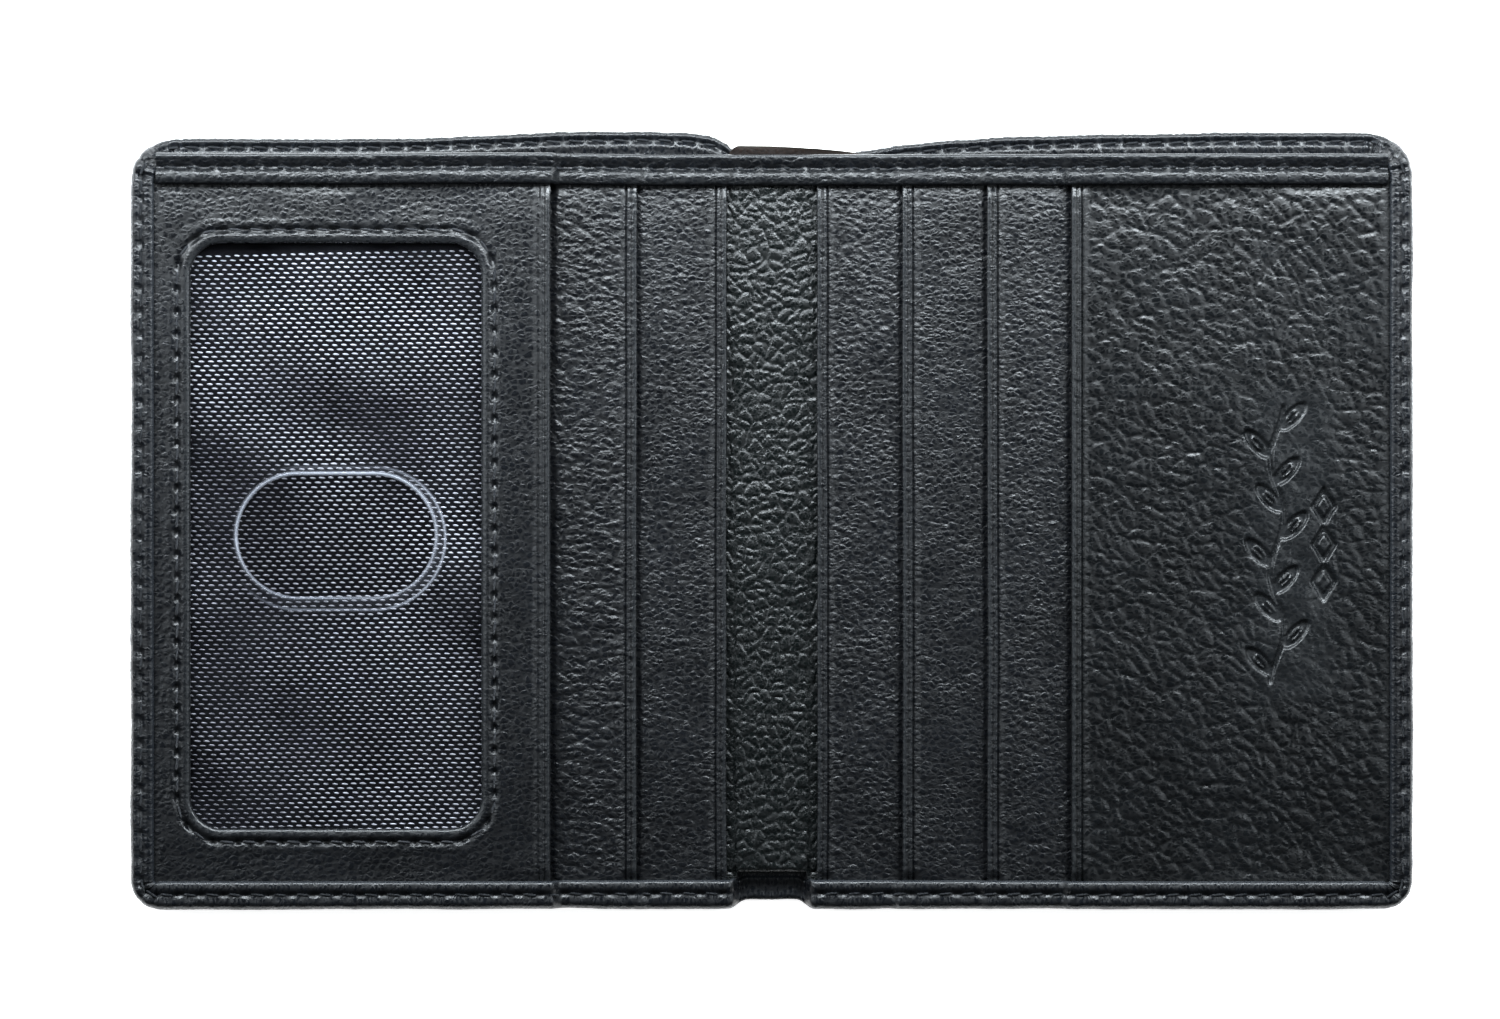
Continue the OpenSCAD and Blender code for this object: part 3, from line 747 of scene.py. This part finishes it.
def card_panel(material):
    """The large front panel of the right leaf, with its pressed mark."""
    node = "card_panel_right"
    low, high = box_mm(node)
    mouth, edge = low[0], high[0] - 0.05
    x = spread([mouth, mouth + 0.35, mouth + 1.8, 62.3, 75.0, edge],
               [0.06, 0.08, 0.25, 0.19, 0.28])[:, None]
    y = spread([LAYER_LOW, -22.5, 17.0, LAYER_TOP], [0.25, 0.19, 0.25])
    dx = x - mouth
    free = under_border(x, y)
    lift = (0.38 + 0.06 * noise(y / 12, 3.5, 33)) * under_strips(y)
    over = mouth_shape(dx, (low, high), lift)[1]
    mark = pressed_mark(x, y)
    near = stroke(x - 69.0, 5.6) * fall(np.abs(y - MARK_Y), 22.0, 3.0)
    grain = mouth_grain(x, y, dx, RIGHT, "panel") * (1 - 0.6 * mark) * (1 - 0.6 * near)
    grain = grain + 0.16 * near * noise(x / 2.6, y / 2.6, 34)
    over = over + grain * free - 0.62 * mark - 0.08 * (1 - free)
    over = np.maximum(over - dip(y), low[2] + 0.1)
    # Worn polish with a painted highlight on the mouth, and a lighter, smoother painted sheen round
    # and in the pressed mark.
    wear = np.maximum(mouth_wear(dx), 0.35 * near + 0.3 * mark)
    shape = Shape()
    shape.plate(fit_corners(x, y, high[0], edge), y, low[2] + 0.02, over, wear)
    shape.rigid("card_panel", RIGHT, material, "inner_leather", node)


# ---- identity window ----

# How far the clear sheet runs in behind the frame
SHEET_EDGE = 3.5
SHEET_LOW, SHEET_HIGH = box_mm("id_window_sheet")
WINDOW_X = -(SHEET_LOW[0] + SHEET_HIGH[0]) / 2
WINDOW_Y = (SHEET_LOW[1] + SHEET_HIGH[1]) / 2
WINDOW_W = SHEET_HIGH[0] - SHEET_LOW[0] - 2 * SHEET_EDGE
WINDOW_H = SHEET_HIGH[1] - SHEET_LOW[1] - 2 * SHEET_EDGE
WINDOW_R = 4.2
THUMB_W, THUMB_H = 26.0, 16.0
# How far out from the window its stitches run, and how many there are
WINDOW_STITCH = 1.75
WINDOW_COUNT = round(2 * (WINDOW_W + WINDOW_H) / STITCH_PITCH)


def ring(width, height, radius, step):
    """Places round a rounded box, their outward directions, and the share of the way round."""
    a, b = width / 2 - radius, height / 2 - radius
    lengths = [2 * b, np.pi / 2 * radius, 2 * a, np.pi / 2 * radius] * 2
    stops = np.concatenate([[0], np.cumsum(lengths)])
    count = round(stops[-1] / step)
    share = np.arange(count) / count
    s = share * stops[-1]
    turn = np.interp(s, stops, np.array([0, 0, 1, 1, 2, 2, 3, 3, 4]) * np.pi / 2)
    x = np.interp(s, stops, [a, a, a, -a, -a, -a, -a, a, a]) + radius * np.cos(turn)
    y = np.interp(s, stops, [-b, b, b, b, b, -b, -b, -b, -b]) + radius * np.sin(turn)
    return x, y, np.cos(turn), np.sin(turn), share


def reach_out(x, y, left, right, low, high):
    """Where the ray from the middle through each place meets a box round it."""
    scale_x = np.where(x > 0, right, -left) / np.maximum(np.abs(x), 1e-6)
    scale_y = np.where(y > 0, high, -low) / np.maximum(np.abs(y), 1e-6)
    scale = np.minimum(scale_x, scale_y)
    return x * scale, y * scale


def round_hole(hole, stops, steps, t, edges):
    """Places from a rounded hole straight out to the last stop, and on by shares t to the
    edges of a box, with how far out from the hole each one is."""
    hole_x, hole_y, way_x, way_y, _ = hole
    r = spread(stops, steps)[:, None]
    near_x, near_y = hole_x + way_x * r, hole_y + way_y * r
    far_x, far_y = reach_out(near_x[-1], near_y[-1], *edges)
    x = np.vstack([near_x, mix(near_x[-1], far_x, t)])
    y = np.vstack([near_y, mix(near_y[-1], far_y, t)])
    beyond = stops[-1] + t * np.hypot(far_x - near_x[-1], far_y - near_y[-1])
    return WINDOW_X + x, WINDOW_Y + y, np.vstack([r + 0 * hole_x, beyond])


def window_frame(material):
    """The leather frame round the window, with its rolled and stitched opening."""
    node = "id_window_frame"
    low, high = box_mm(node)
    mouth, far = -high[0], -low[0]
    edge = far - 0.1
    hole = ring(WINDOW_W, WINDOW_H, WINDOW_R, 0.33)
    t = 1 - (1 - np.linspace(0, 1, 38)[1:, None]) ** 1.3
    x, y, out = round_hole(hole, [0, 0.36, 2.5], [0.06, 0.14], t,
                           (mouth - WINDOW_X, edge - WINDOW_X,
                            LAYER_LOW - WINDOW_Y, LAYER_TOP - WINDOW_Y))
    dx = x - mouth
    free = under_border(x, y)
    lift = (0.38 + 0.05 * noise(y / 12, 4.5, 53)) * under_strips(y)
    under, over = mouth_shape(dx, (low, high), lift)
    lip = np.clip(out / 0.5, 0, 1)
    rolled = 0.40 * (1 - np.sqrt(np.clip(1 - (1 - lip) ** 2, 0, 1)))
    crown = 0.20 * bump_at(out, 0.85, 0.6) + 0.07 * bump_at(out, 2.6, 0.6)
    phase = (hole[-1] * WINDOW_COUNT) % 1 - 0.5
    grain = mouth_grain(x, y, dx, LEFT, "frame") * mix(0.5, 1, rise(out, 1.2, 1.2)) * lip
    over = over + grain * free - 0.08 * (1 - free)
    over = over + crown - rolled - seam(out - WINDOW_STITCH, phase) - dip(y)
    # Worn polish with a painted highlight on the mouth's crest and round the window's rolled edge:
    # the colour lightens there.
    wear = np.maximum(mouth_wear(dx), 0.7 * bump_at(out, 0.3, 0.45))
    shape = Shape()
    shape.slab(fit_corners(x, y, far, edge), y, under, np.maximum(over, under + 0.02), wear,
               wrap=True)
    shape.rigid("window_frame", LEFT, material, "inner_leather", node)


def window_sheet(material):
    """The clear sheet, with a beaded rim round its thumb hole."""
    hole = ring(THUMB_W, THUMB_H, THUMB_H / 2 - 0.01, 0.3)
    way_x, way_y, share = hole[2:]
    half_w, half_h = WINDOW_W / 2 + SHEET_EDGE, WINDOW_H / 2 + SHEET_EDGE
    x, y, out = round_hole(hole, [0, 0.9, 2.2], [0.06, 0.09], np.linspace(0, 1, 41)[1:, None],
                           (-half_w, half_w, -half_h, half_h))
    toward = np.clip(0.40 - 0.60 * way_x - 0.15 * way_y, 0.0, 0.9)
    # Painted highlight: the bead is lighter on its upper and right sides, where the light falls.
    painted_bead_highlight = 0.66 + 0.22 * way_y + 0.12 * way_x + 0.2 * noise(share * 9, 0, 64)
    painted_bead_highlight = np.clip(painted_bead_highlight, 0.45, 0.95)
    away = 1.45 - 0.35 * way_y
    bead = 0.24 * bump_at(out, 0.30, 0.20) + 0.14 * bump_at(out, away, 0.16) * toward
    inside = fall(np.abs(x - WINDOW_X), WINDOW_W / 2, 4)
    inside = inside * fall(np.abs(y - WINDOW_Y), WINDOW_H / 2, 4)
    wave = (0.16 * noise(x / 13, y / 10, 63) - 0.04) * inside
    low, high = SHEET_LOW[2] + 0.03 + wave, SHEET_HIGH[2] - 0.03 + wave
    # Painted reflection: a lighter, denser second ring on the lower right side, outside the bead.
    painted_rim_reflection = 0.7 * bump_at(out, away, 0.17) + 0.06 * bump_at(out, 0.8, 0.6)
    wear = np.clip(painted_bead_highlight * bump_at(out, 0.25, 0.26) + toward * painted_rim_reflection, 0, 1)
    shape = Shape()
    shape.slab(x, y, low, high + bead - 0.10 * np.exp(-out / 0.05), wear, wrap=True)
    shape.rigid("window_film", LEFT, material, "clear_plastic", "id_window_sheet")


# Repeat of the weave along a row, from row to row, and each row's shift over the last
WEAVE_X, WEAVE_Y, WEAVE_SHIFT = 1.24, 0.606, 0.711
# Half the length and half the width of a float, how its rows slope, and its own slant
FLOAT_X, FLOAT_Y, ROW_SLOPE, FLOAT_SLANT = 0.40, 0.138, 0.022, 0.04


def woven_backing(base_material, yarn_material):
    """The backing behind the card: a dark cloth with bright yarns floating over it."""
    node, slot = "id_backing_mesh", "woven_backing"
    low, high = box_mm(node)
    y = np.linspace(low[1], high[1], 200)
    x = mix(-high[0], leaf_end(y, -low[0]) - 0.05, np.linspace(0, 1, 110)[:, None])
    sag = 0.05 * noise(x / 12, y / 12, 71)
    shape = Shape()
    shape.slab(x, y, low[2] + 0.02 + sag * 0.2, high[2] - 0.10 + sag * 0.4)
    piece = shape.rigid("backing_cloth", LEFT, base_material, slot, node)

    half_w, half_h = WINDOW_W / 2 + 0.8, WINDOW_H / 2 + 0.8
    # The floats stop 1.3 mm short of the window's top edge, so the dark cloth shows there as a
    # painted shadow of the frame's edge.
    rows = np.arange(-half_h, WINDOW_H / 2 - 1.3, WEAVE_Y)
    columns = np.arange(-half_w, half_w - WEAVE_X / 2, WEAVE_X)
    cx, cy = np.meshgrid(columns, rows, indexing="ij")
    cx = cx + (WEAVE_SHIFT * np.arange(len(rows))) % WEAVE_X
    cx, cy = cx.reshape(-1, 1, 1), cy.reshape(-1, 1, 1)
    cy = cy - ROW_SLOPE * cx
    chance = np.random.RandomState(72)
    cx = cx + chance.normal(0, 0.025, cx.shape)
    cy = cy + chance.normal(0, 0.018, cy.shape)
    size = 1 + chance.normal(0, 0.07, cx.shape)
    a, b = np.linspace(-1, 1, 5), np.linspace(-1, 1, 4)[:, None]
    px = cx + FLOAT_X * a * size + 0 * b
    py = cy + FLOAT_Y * b * np.sqrt(np.clip(1.04 - a**2, 0, 1)) + FLOAT_SLANT * a
    dome = (1 - 0.75 * a**2) * (1 - b**2) + 0.001
    pz = high[2] - 0.11 + 0.13 * dome + 0.02 * noise(px / 12, py / 12, 71)
    # Painted sheen: broad bright and dark bands across the floats stand in for light on the cloth's
    # undulation. The floats are lighter towards the top, with a little random tone per float.
    sheen = noise((cx + cy) / 17, (cy - 0.6 * cx) / 9, 73) + 0.5 * noise(cx / 8, cy / 8, 74)
    painted_sheen_and_tone = 0.40 + 0.6 * sheen + 0.15 * chance.rand(*cx.shape) + 0.004 * cy
    shape = Shape()
    index = shape.add(WINDOW_X + px, WINDOW_Y + py, pz, px, py, np.clip(painted_sheen_and_tone, 0, 1))
    shape.quads.append(cells(index))
    shape.caps += rim_of(index)[:, ::-1].tolist()
    shape.rigid("backing_yarns", LEFT, yarn_material, slot, node)


# ---- threads ----

STITCH_LENGTH, STITCH_SLANT = 1.9, 0.12


def stitches(x, y, z, way_x, way_y):
    """Stitches of thread centred on the given places and lying along the given ways."""
    places = np.broadcast_arrays(x, y, z, way_x, way_y)
    x, y, z, way_x, way_y = [np.ravel(v)[:, None, None] for v in places]
    way_x, way_y = way_x - STITCH_SLANT * way_y, way_y + STITCH_SLANT * way_x
    along = np.linspace(-1, 1, 9)[:, None]
    turn = np.linspace(0, 2 * np.pi, 9)[:-1]
    twist = 1 + 0.08 * np.cos(along * 14 + turn)
    thick = THREAD_R * np.sqrt(np.clip(1.02 - along**4, 0, 1)) * twist
    arch = 0.10 * (1 - along**2) - 0.06
    ahead, across = along * STITCH_LENGTH / 2, thick * np.cos(turn)
    px = x + way_x * ahead - way_y * across
    py = y + way_y * ahead + way_x * across
    pz = z + arch + thick * np.sin(turn)
    shape = Shape()
    for k in range(len(px)):
        shape.tube(px[k], py[k], pz[k], 40 * k + along * STITCH_LENGTH, turn)
    return shape


def edge_threads(side, material):
    """Stitches round the turned edge and the hem, on the inner and the outer face."""
    path = edge_path(side)
    s = np.arange(FIRST_STITCH + STITCH_PITCH / 2, path[-1][-1], STITCH_PITCH)
    x, y, in_x, in_y, height, _, stitch_in, _ = [np.interp(s, path[-1], row) for row in path[:-1]]
    px, py = x + in_x * stitch_in, y + in_y * stitch_in
    hem, seen = is_hem(x, in_y), x > 5.8
    word = WORD[side]
    rows = (
        ("border_thread_", seen & ~hem, 0.20, ["border_stitches_" + word]),
        ("hem_thread_", seen & hem, 0.34, ["hem_stitches_" + word, "hem_stitches_spine"]),
    )
    for name, pick, sunk, nodes in rows:
        inner = height[pick] - sunk
        z = np.stack([inner, np.full_like(inner, THREAD_R + 0.03)])
        shape = stitches(px[pick], py[pick], z, in_y[pick], -in_x[pick])
        shape.folding(name + word, side, material, "thread", *nodes)


def trim_threads(side, material):
    x = np.arange(STITCH_PITCH / 2, STRIP_X - 1.2, STITCH_PITCH)
    shape = stitches(x, TRIM_TOP - TRIM_IN, drape(x, side) + TURNED - 0.42, 1, 0)
    shape.folding("trim_thread_" + WORD[side], side, material, "thread",
                  "trim_stitches_" + WORD[side], "trim_stitches_spine")


def window_threads(material):
    x, y, way_x, way_y, share = ring(WINDOW_W, WINDOW_H, WINDOW_R, 0.05)
    at = np.searchsorted(share, (np.arange(WINDOW_COUNT) + 0.5) / WINDOW_COUNT)
    x, y, way_x, way_y = x[at], y[at], way_x[at], way_y[at]
    shape = stitches(WINDOW_X + x + way_x * WINDOW_STITCH, WINDOW_Y + y + way_y * WINDOW_STITCH,
                     FRONT_Z - 0.22, -way_y, way_x)
    shape.rigid("window_thread", LEFT, material, "thread", "window_stitches")


# ---- materials ----

MIDDLE = (0.5, 0.5, 0.5)


class Look:
    """A material being put together from shader nodes."""

    def __init__(self, name):
        self.material = bpy.data.materials.new(name)
        self.material.use_nodes = True
        self.tree = self.material.node_tree
        self.tree.nodes.clear()
        self.shader = self.node("BsdfPrincipled")
        self.node("OutputMaterial", {"Surface": self.shader.outputs[0]})
        self.place = self.node("UVMap", uv_map="grain").outputs[0]

    def feed(self, socket, value):
        """Links a value to a socket, or sets a plain one there. Colours have 3 numbers."""
        if isinstance(value, bpy.types.NodeSocket):
            self.tree.links.new(value, socket)
        else:
            socket.default_value = (*value, 1.0) if socket.type == "RGBA" else value

    def node(self, kind, inputs=(), **settings):
        made = self.tree.nodes.new("ShaderNode" + kind)
        for key, value in settings.items():
            setattr(made, key, value)
        for key, value in dict(inputs).items():
            self.feed(made.inputs[key], value)
        return made

    def spots(self, scale, detail=3.0, roughness=0.55, place=None):
        return self.node("TexNoise", {"Vector": place or self.place, "Scale": scale,
                                      "Detail": detail, "Roughness": roughness}).outputs[0]

    def ramp(self, value, low, high, to_low=0.0, to_high=1.0):
        return self.node("MapRange", {"Value": value, "From Min": low, "From Max": high,
                                      "To Min": to_low, "To Max": to_high}).outputs[0]

    def maths(self, operation, a, b):
        return self.node("Math", {0: a, 1: b}, operation=operation).outputs[0]

    def total(self, *terms):
        """The sum of values, each times a factor."""
        result = None
        for value, factor in terms:
            part = self.maths("MULTIPLY", value, factor)
            result = self.maths("ADD", result, part) if result else part
        return result

    def vector(self, operation, a, b, output="Vector"):
        return self.node("VectorMath", {0: a, 1: b}, operation=operation).outputs[output]

    def mapped(self, place, scale, turn=0.0):
        return self.node("Mapping", {"Vector": place, "Rotation": (0, 0, turn),
                                     "Scale": scale}).outputs[0]

    def blend(self, factor, a, b):
        made = self.node("Mix", data_type="RGBA")
        for index, value in ((0, factor), (6, a), (7, b)):
            self.feed(made.inputs[index], value)
        return made.outputs[2]

    # The mesh's wear attribute: worn polish together with painted highlights and painted sheen.
    def wear(self):
        return self.node("Attribute", attribute_name="wear").outputs["Fac"]

    def surface(self, base, rough, bump=None, depth=0.0, strength=1.0, **numbers):
        """Sets the shader's colour, roughness, bump of a depth in mm, and plain numbers."""
        self.feed(self.shader.inputs["Base Color"], base)
        self.feed(self.shader.inputs["Roughness"], rough)
        if bump:
            made = self.node("Bump", {"Height": bump, "Distance": depth * MM, "Strength": strength})
            self.feed(self.shader.inputs["Normal"], made.outputs[0])
        for name, value in numbers.items():
            self.feed(self.shader.inputs[name.replace("_", " ")], value)
        return self.material


def leather(name, dark, light, worn_sheen_colour, rough, cell, depth, stretch, turn, tilt):
    """Dyed leather: tilted and domed grain, wrinkles and pores, uneven dye, painted shade in its
    creases, and worn polish with a painted highlight.
    cell is the number of grains to a millimetre, and depth the relief in millimetres."""
    look = Look(name)
    wear = look.wear()
    bent = look.node("TexNoise", {"Vector": look.place, "Scale": cell * 0.8, "Detail": 2.0})
    swirl = look.vector("SUBTRACT", bent.outputs["Color"], MIDDLE)
    swirl = look.vector("MULTIPLY", swirl, (0.9 / cell,) * 3)
    moved = look.vector("ADD", look.place, swirl)
    spun = look.mapped(moved, (1 / stretch[0], 1 / stretch[1], 1), turn)
    grains = look.node("TexVoronoi", {"Vector": spun, "Scale": cell}, feature="F1").outputs
    edges = look.node("TexVoronoi", {"Vector": spun, "Scale": cell}, feature="DISTANCE_TO_EDGE")
    crease = look.ramp(edges.outputs["Distance"], 0.0, 0.22)
    lean = look.vector("SUBTRACT", grains["Color"], MIDDLE)
    within = look.vector("SUBTRACT", spun, grains["Position"])
    facet = look.maths("MULTIPLY", look.vector("DOT_PRODUCT", within, lean, "Value"), crease)
    wrinkles = look.node("TexNoise", {"Vector": spun, "Scale": cell * 0.45, "Detail": 4.0,
                                      "Roughness": 0.6, "Offset": 1.0, "Gain": 2.0},
                         noise_type="RIDGED_MULTIFRACTAL").outputs[0]
    pores = look.spots(cell * 5.0, 3.0, 0.6)
    tone = look.blend(look.ramp(look.spots(0.09, 4.0, 0.6), 0.35, 0.68), dark, light)
    # Painted shade: the colour is darkened to 30 % in the grain's creases, where shade falls.
    deep = (dark[0] * 0.3, dark[1] * 0.3, dark[2] * 0.35)
    tone = look.blend(look.ramp(crease, 0.0, 1.0, 0.7, 0.0), tone, deep)
    # Worn polish with a painted highlight: the colour lightens towards the worn colour on the
    # crests and edges that the mesh marks.
    tone = look.blend(look.maths("MULTIPLY", wear, 0.75), tone, worn_sheen_colour)
    gloss = look.ramp(look.spots(0.5), 0.3, 0.72, *rough)
    gloss = look.maths("ADD", gloss, look.ramp(crease, 0.0, 1.0, 0.25, 0.0))
    gloss = look.maths("SUBTRACT", gloss, look.maths("MULTIPLY", wear, 0.08))
    gloss = look.maths("MAXIMUM", gloss, 0.16)
    high = look.total((grains["Distance"], -0.9), (facet, tilt), (crease, 0.18),
                      (wrinkles, 0.25), (pores, 0.15))
    strength = look.ramp(look.spots(0.16, 2.0), 0.36, 0.64, 0.6, 1.0)
    strength = look.maths("MULTIPLY", strength, look.ramp(wear, 0.0, 1.0, 1.0, 0.25))
    return look.surface(tone, gloss, high, depth, strength, IOR=1.5)


def cloth(name, base, dark, pitch, depth, rough):
    """A plain weave: crossed yarns, with an uneven dye."""
    look = Look(name)
    place = look.mapped(look.place, (1 / pitch, 1 / pitch, 1))
    bands = [look.node("TexWave", {"Vector": place, "Scale": 1.0}, bands_direction=way)
             for way in "XY"]
    yarn = look.maths("MULTIPLY", *[band.outputs["Fac"] for band in bands])
    uneven = look.spots(0.5)
    shade = look.maths("MULTIPLY", yarn, look.ramp(uneven, 0.3, 0.7, 0.5, 1.0))
    return look.surface(look.blend(shade, dark, base),
                        look.ramp(uneven, 0.3, 0.7, rough - 0.08, rough + 0.08),
                        yarn, depth, Specular_IOR_Level=0.08)


def yarn_floats(name):
    """Glossy grey filament whose brightness is a painted sheen in broad bands, lighter towards the
    top, with a little random tone per float.
    """
    look = Look(name)
    lines = look.spots(1.0, 2.0, place=look.mapped(look.place, (1.5, 30.0, 1.0)))
    # Painted sheen: each float's colour runs from dark to light grey with the sheen field carried
    # on the mesh.
    shown = look.blend(look.wear(), (0.075, 0.075, 0.09), (0.54, 0.54, 0.61))
    shown = look.blend(look.ramp(lines, 0.35, 0.7, 0.0, 0.4), shown, (0.06, 0.06, 0.08))
    return look.surface(shown, look.ramp(lines, 0.3, 0.7, 0.22, 0.40), lines, 0.03)


def clear_film(name):
    """Clear vinyl with a slight haze, denser and lighter in the bead round the thumb hole, which
    carries a painted highlight and a painted reflection ring.
    """
    look = Look(name)
    wear = look.wear()
    clear = look.ramp(look.spots(0.08), 0.35, 0.7, 0.0, 0.012)
    look.feed(look.shader.inputs["Alpha"], look.total((clear, 1.0), (wear, 0.55)))
    scuffs = look.ramp(look.spots(2.5, 4.0), 0.3, 0.7, 0.06, 0.20)
    # The bead's painted highlight and reflection ring lighten the colour from dark to pale
    # blue-grey.
    return look.surface(look.blend(wear, (0.20, 0.21, 0.25), (0.50, 0.53, 0.60)),
                        look.total((scuffs, 1.0), (wear, 0.35)),
                        Coat_Weight=0.5, Coat_Roughness=0.3)


def foil(name):
    look = Look(name)
    wrinkle = look.spots(0.8, 5.0)
    return look.surface(look.blend(wrinkle, (0.5, 0.51, 0.53), (0.75, 0.76, 0.78)),
                        look.ramp(wrinkle, 0.3, 0.7, 0.25, 0.45), wrinkle, 0.2, Metallic=1.0)


def waxed_thread(name, dark, light, rough):
    """Twisted polyester thread."""
    look = Look(name)
    place = look.mapped(look.place, (9.0, 1.0, 1.0))
    twist = look.node("TexWave", {"Vector": place, "Scale": 0.35, "Distortion": 0.5},
                      bands_direction="DIAGONAL").outputs["Fac"]
    return look.surface(look.blend(twist, dark, light),
                        look.ramp(twist, 0.0, 1.0, rough + 0.15, rough), twist, 0.06)


# ---- floor, light and camera ----

STUDIO_TINT = (0.87, 0.945, 1.0)
# Name, place, target, width and height, and watts
LIGHTS = (
    ("key", (0.0, 0.128, 0.105), (0, 0.02, 0), (0.50, 0.05), 1.62),
    ("side_left", (-0.30, 0.05, 0.26), (0, 0, 0), (0.12, 0.35), 0.34),
    ("side_right", (0.30, 0.05, 0.26), (0, 0, 0), (0.12, 0.35), 0.34),
)
# The camera looks straight down at the middle of the view, which is this wide
CAMERA_PLACE = (-2.9 * MM, 1.8 * MM, 0.6)
VIEW_W = 0.2003
SENSOR_MM = 36.0
FLOOR_R, FLOOR_Z = 3.0, -0.0001


def place_in_scene(name, data, place=(0, 0, 0)):
    made = bpy.data.objects.new(name, data)
    made.location = place
    bpy.context.scene.collection.objects.link(made)
    return made


def stage():
    r, z = FLOOR_R, FLOOR_Z
    mesh = bpy.data.meshes.new("floor")
    mesh.from_pydata([(-r, -r, z), (r, -r, z), (r, r, z), (-r, r, z)], [], [(0, 1, 2, 3)])
    paint = bpy.data.materials.new("floor_paint")
    paint.use_nodes = True
    shader = paint.node_tree.nodes["Principled BSDF"]
    shader.inputs["Base Color"].default_value = (0.92, 0.92, 0.92, 1.0)
    shader.inputs["Roughness"].default_value = 0.9
    shader.inputs["Specular IOR Level"].default_value = 0.1
    shader.inputs["Emission Color"].default_value = (1.0, 1.0, 1.0, 1.0)
    shader.inputs["Emission Strength"].default_value = 0.92
    mesh.materials.append(paint)
    place_in_scene("floor", mesh)

    world = bpy.data.worlds.new("studio")
    bpy.context.scene.world = world
    world.use_nodes = True
    background = world.node_tree.nodes["Background"]
    background.inputs["Color"].default_value = (*STUDIO_TINT, 1.0)
    background.inputs["Strength"].default_value = 0.06

    for name, place, target, size, watts in LIGHTS:
        light = bpy.data.lights.new(name, "AREA")
        light.shape = "RECTANGLE"
        light.size, light.size_y = size
        light.energy = watts
        light.color = STUDIO_TINT
        lamp = place_in_scene(name, light, place)
        lamp.visible_camera = False
        way = Vector(target) - Vector(place)
        lamp.rotation_euler = way.to_track_quat("-Z", "Y").to_euler()

    camera = bpy.data.cameras.new("camera")
    camera.sensor_width = SENSOR_MM
    camera.lens = SENSOR_MM * CAMERA_PLACE[2] / VIEW_W
    camera.clip_start = 0.01
    bpy.context.scene.camera = place_in_scene("camera", camera, CAMERA_PLACE)
    bpy.context.scene.view_settings.view_transform = "Standard"


# ---- the wallet ----

# Dark and light dye, and the colour of worn polish with its painted highlight; roughness; grains to
# a millimetre; depth in mm; stretch; turn; tilt
SKINS = {
    "cover": ((0.0025, 0.003, 0.0045), (0.006, 0.0075, 0.010), (0.026, 0.03, 0.036),
              (0.18, 0.28), 1.3, 0.09, (0.75, 1.6), 0.5, 0.7),
    "strip": ((0.003, 0.0035, 0.0045), (0.006, 0.007, 0.009), (0.024, 0.026, 0.028),
              (0.19, 0.29), 1.6, 0.12, (1.5, 1.0), 0.2, 0.8),
    "frame": ((0.003, 0.0035, 0.0045), (0.006, 0.007, 0.009), (0.024, 0.026, 0.028),
              (0.19, 0.29), 1.5, 0.09, (1.4, 1.0), 0.1, 0.5),
    "panel": ((0.0025, 0.003, 0.0035), (0.005, 0.006, 0.007), (0.024, 0.026, 0.028),
              (0.18, 0.27), 1.6, 0.055, (1.6, 1.0), -0.75, 0.8),
    "spine": ((0.002, 0.0035, 0.0035), (0.005, 0.007, 0.007), (0.024, 0.028, 0.028),
              (0.17, 0.27), 1.7, 0.08, (1.0, 1.0), 0.0, 0.5),
    "divider": ((0.016, 0.010, 0.008), (0.028, 0.018, 0.013), (0.05, 0.035, 0.026),
                (0.42, 0.55), 2.2, 0.06, (1.0, 1.0), 0.0, 1.0),
}

stage()

skins = {name: leather(name + "_skin", *facts) for name, facts in SKINS.items()}
lining_cloth = cloth("lining_cloth", (0.02, 0.02, 0.022), (0.004, 0.004, 0.005), 0.3, 0.05, 0.75)
backing_cloth = cloth("backing_cloth", (0.003, 0.003, 0.005), (0.001, 0.001, 0.002),
                      0.25, 0.05, 0.6)
yarn = yarn_floats("yarn_floats")
film = clear_film("clear_film")
foil_skin = foil("shielding_foil")
dark_thread = waxed_thread("dark_thread", (0.003, 0.004, 0.006), (0.014, 0.017, 0.022), 0.5)
grey_thread = waxed_thread("grey_thread", (0.012, 0.013, 0.016), (0.045, 0.048, 0.055), 0.36)

for half in (LEFT, RIGHT):
    cover_edge(half, skins["cover"])
    cover_sheet(half, skins["cover"])
    layer("rfid_foil", half, foil_skin)
    layer("bill_lining", half, lining_cloth)
    layer("inner_lining", half, lining_cloth)
    divider(half, skins["divider"])
    base_leather(half, skins["spine"])
    trim(half, skins["strip"])
    edge_threads(half, dark_thread)
    trim_threads(half, dark_thread)
for half in (LEFT, RIGHT):
    for number in range(1, len(MOUTHED[half])):
        facing(half, number, skins["strip"])
        lining = "pocket_lining_" + WORD[half] + "_" + str(number)
        pocket_lining(lining, half, lining_cloth)
card_panel(skins["panel"])
pocket_lining("card_panel_lining", RIGHT, lining_cloth)
window_frame(skins["frame"])
window_sheet(film)
woven_backing(backing_cloth, yarn)
window_threads(grey_thread)
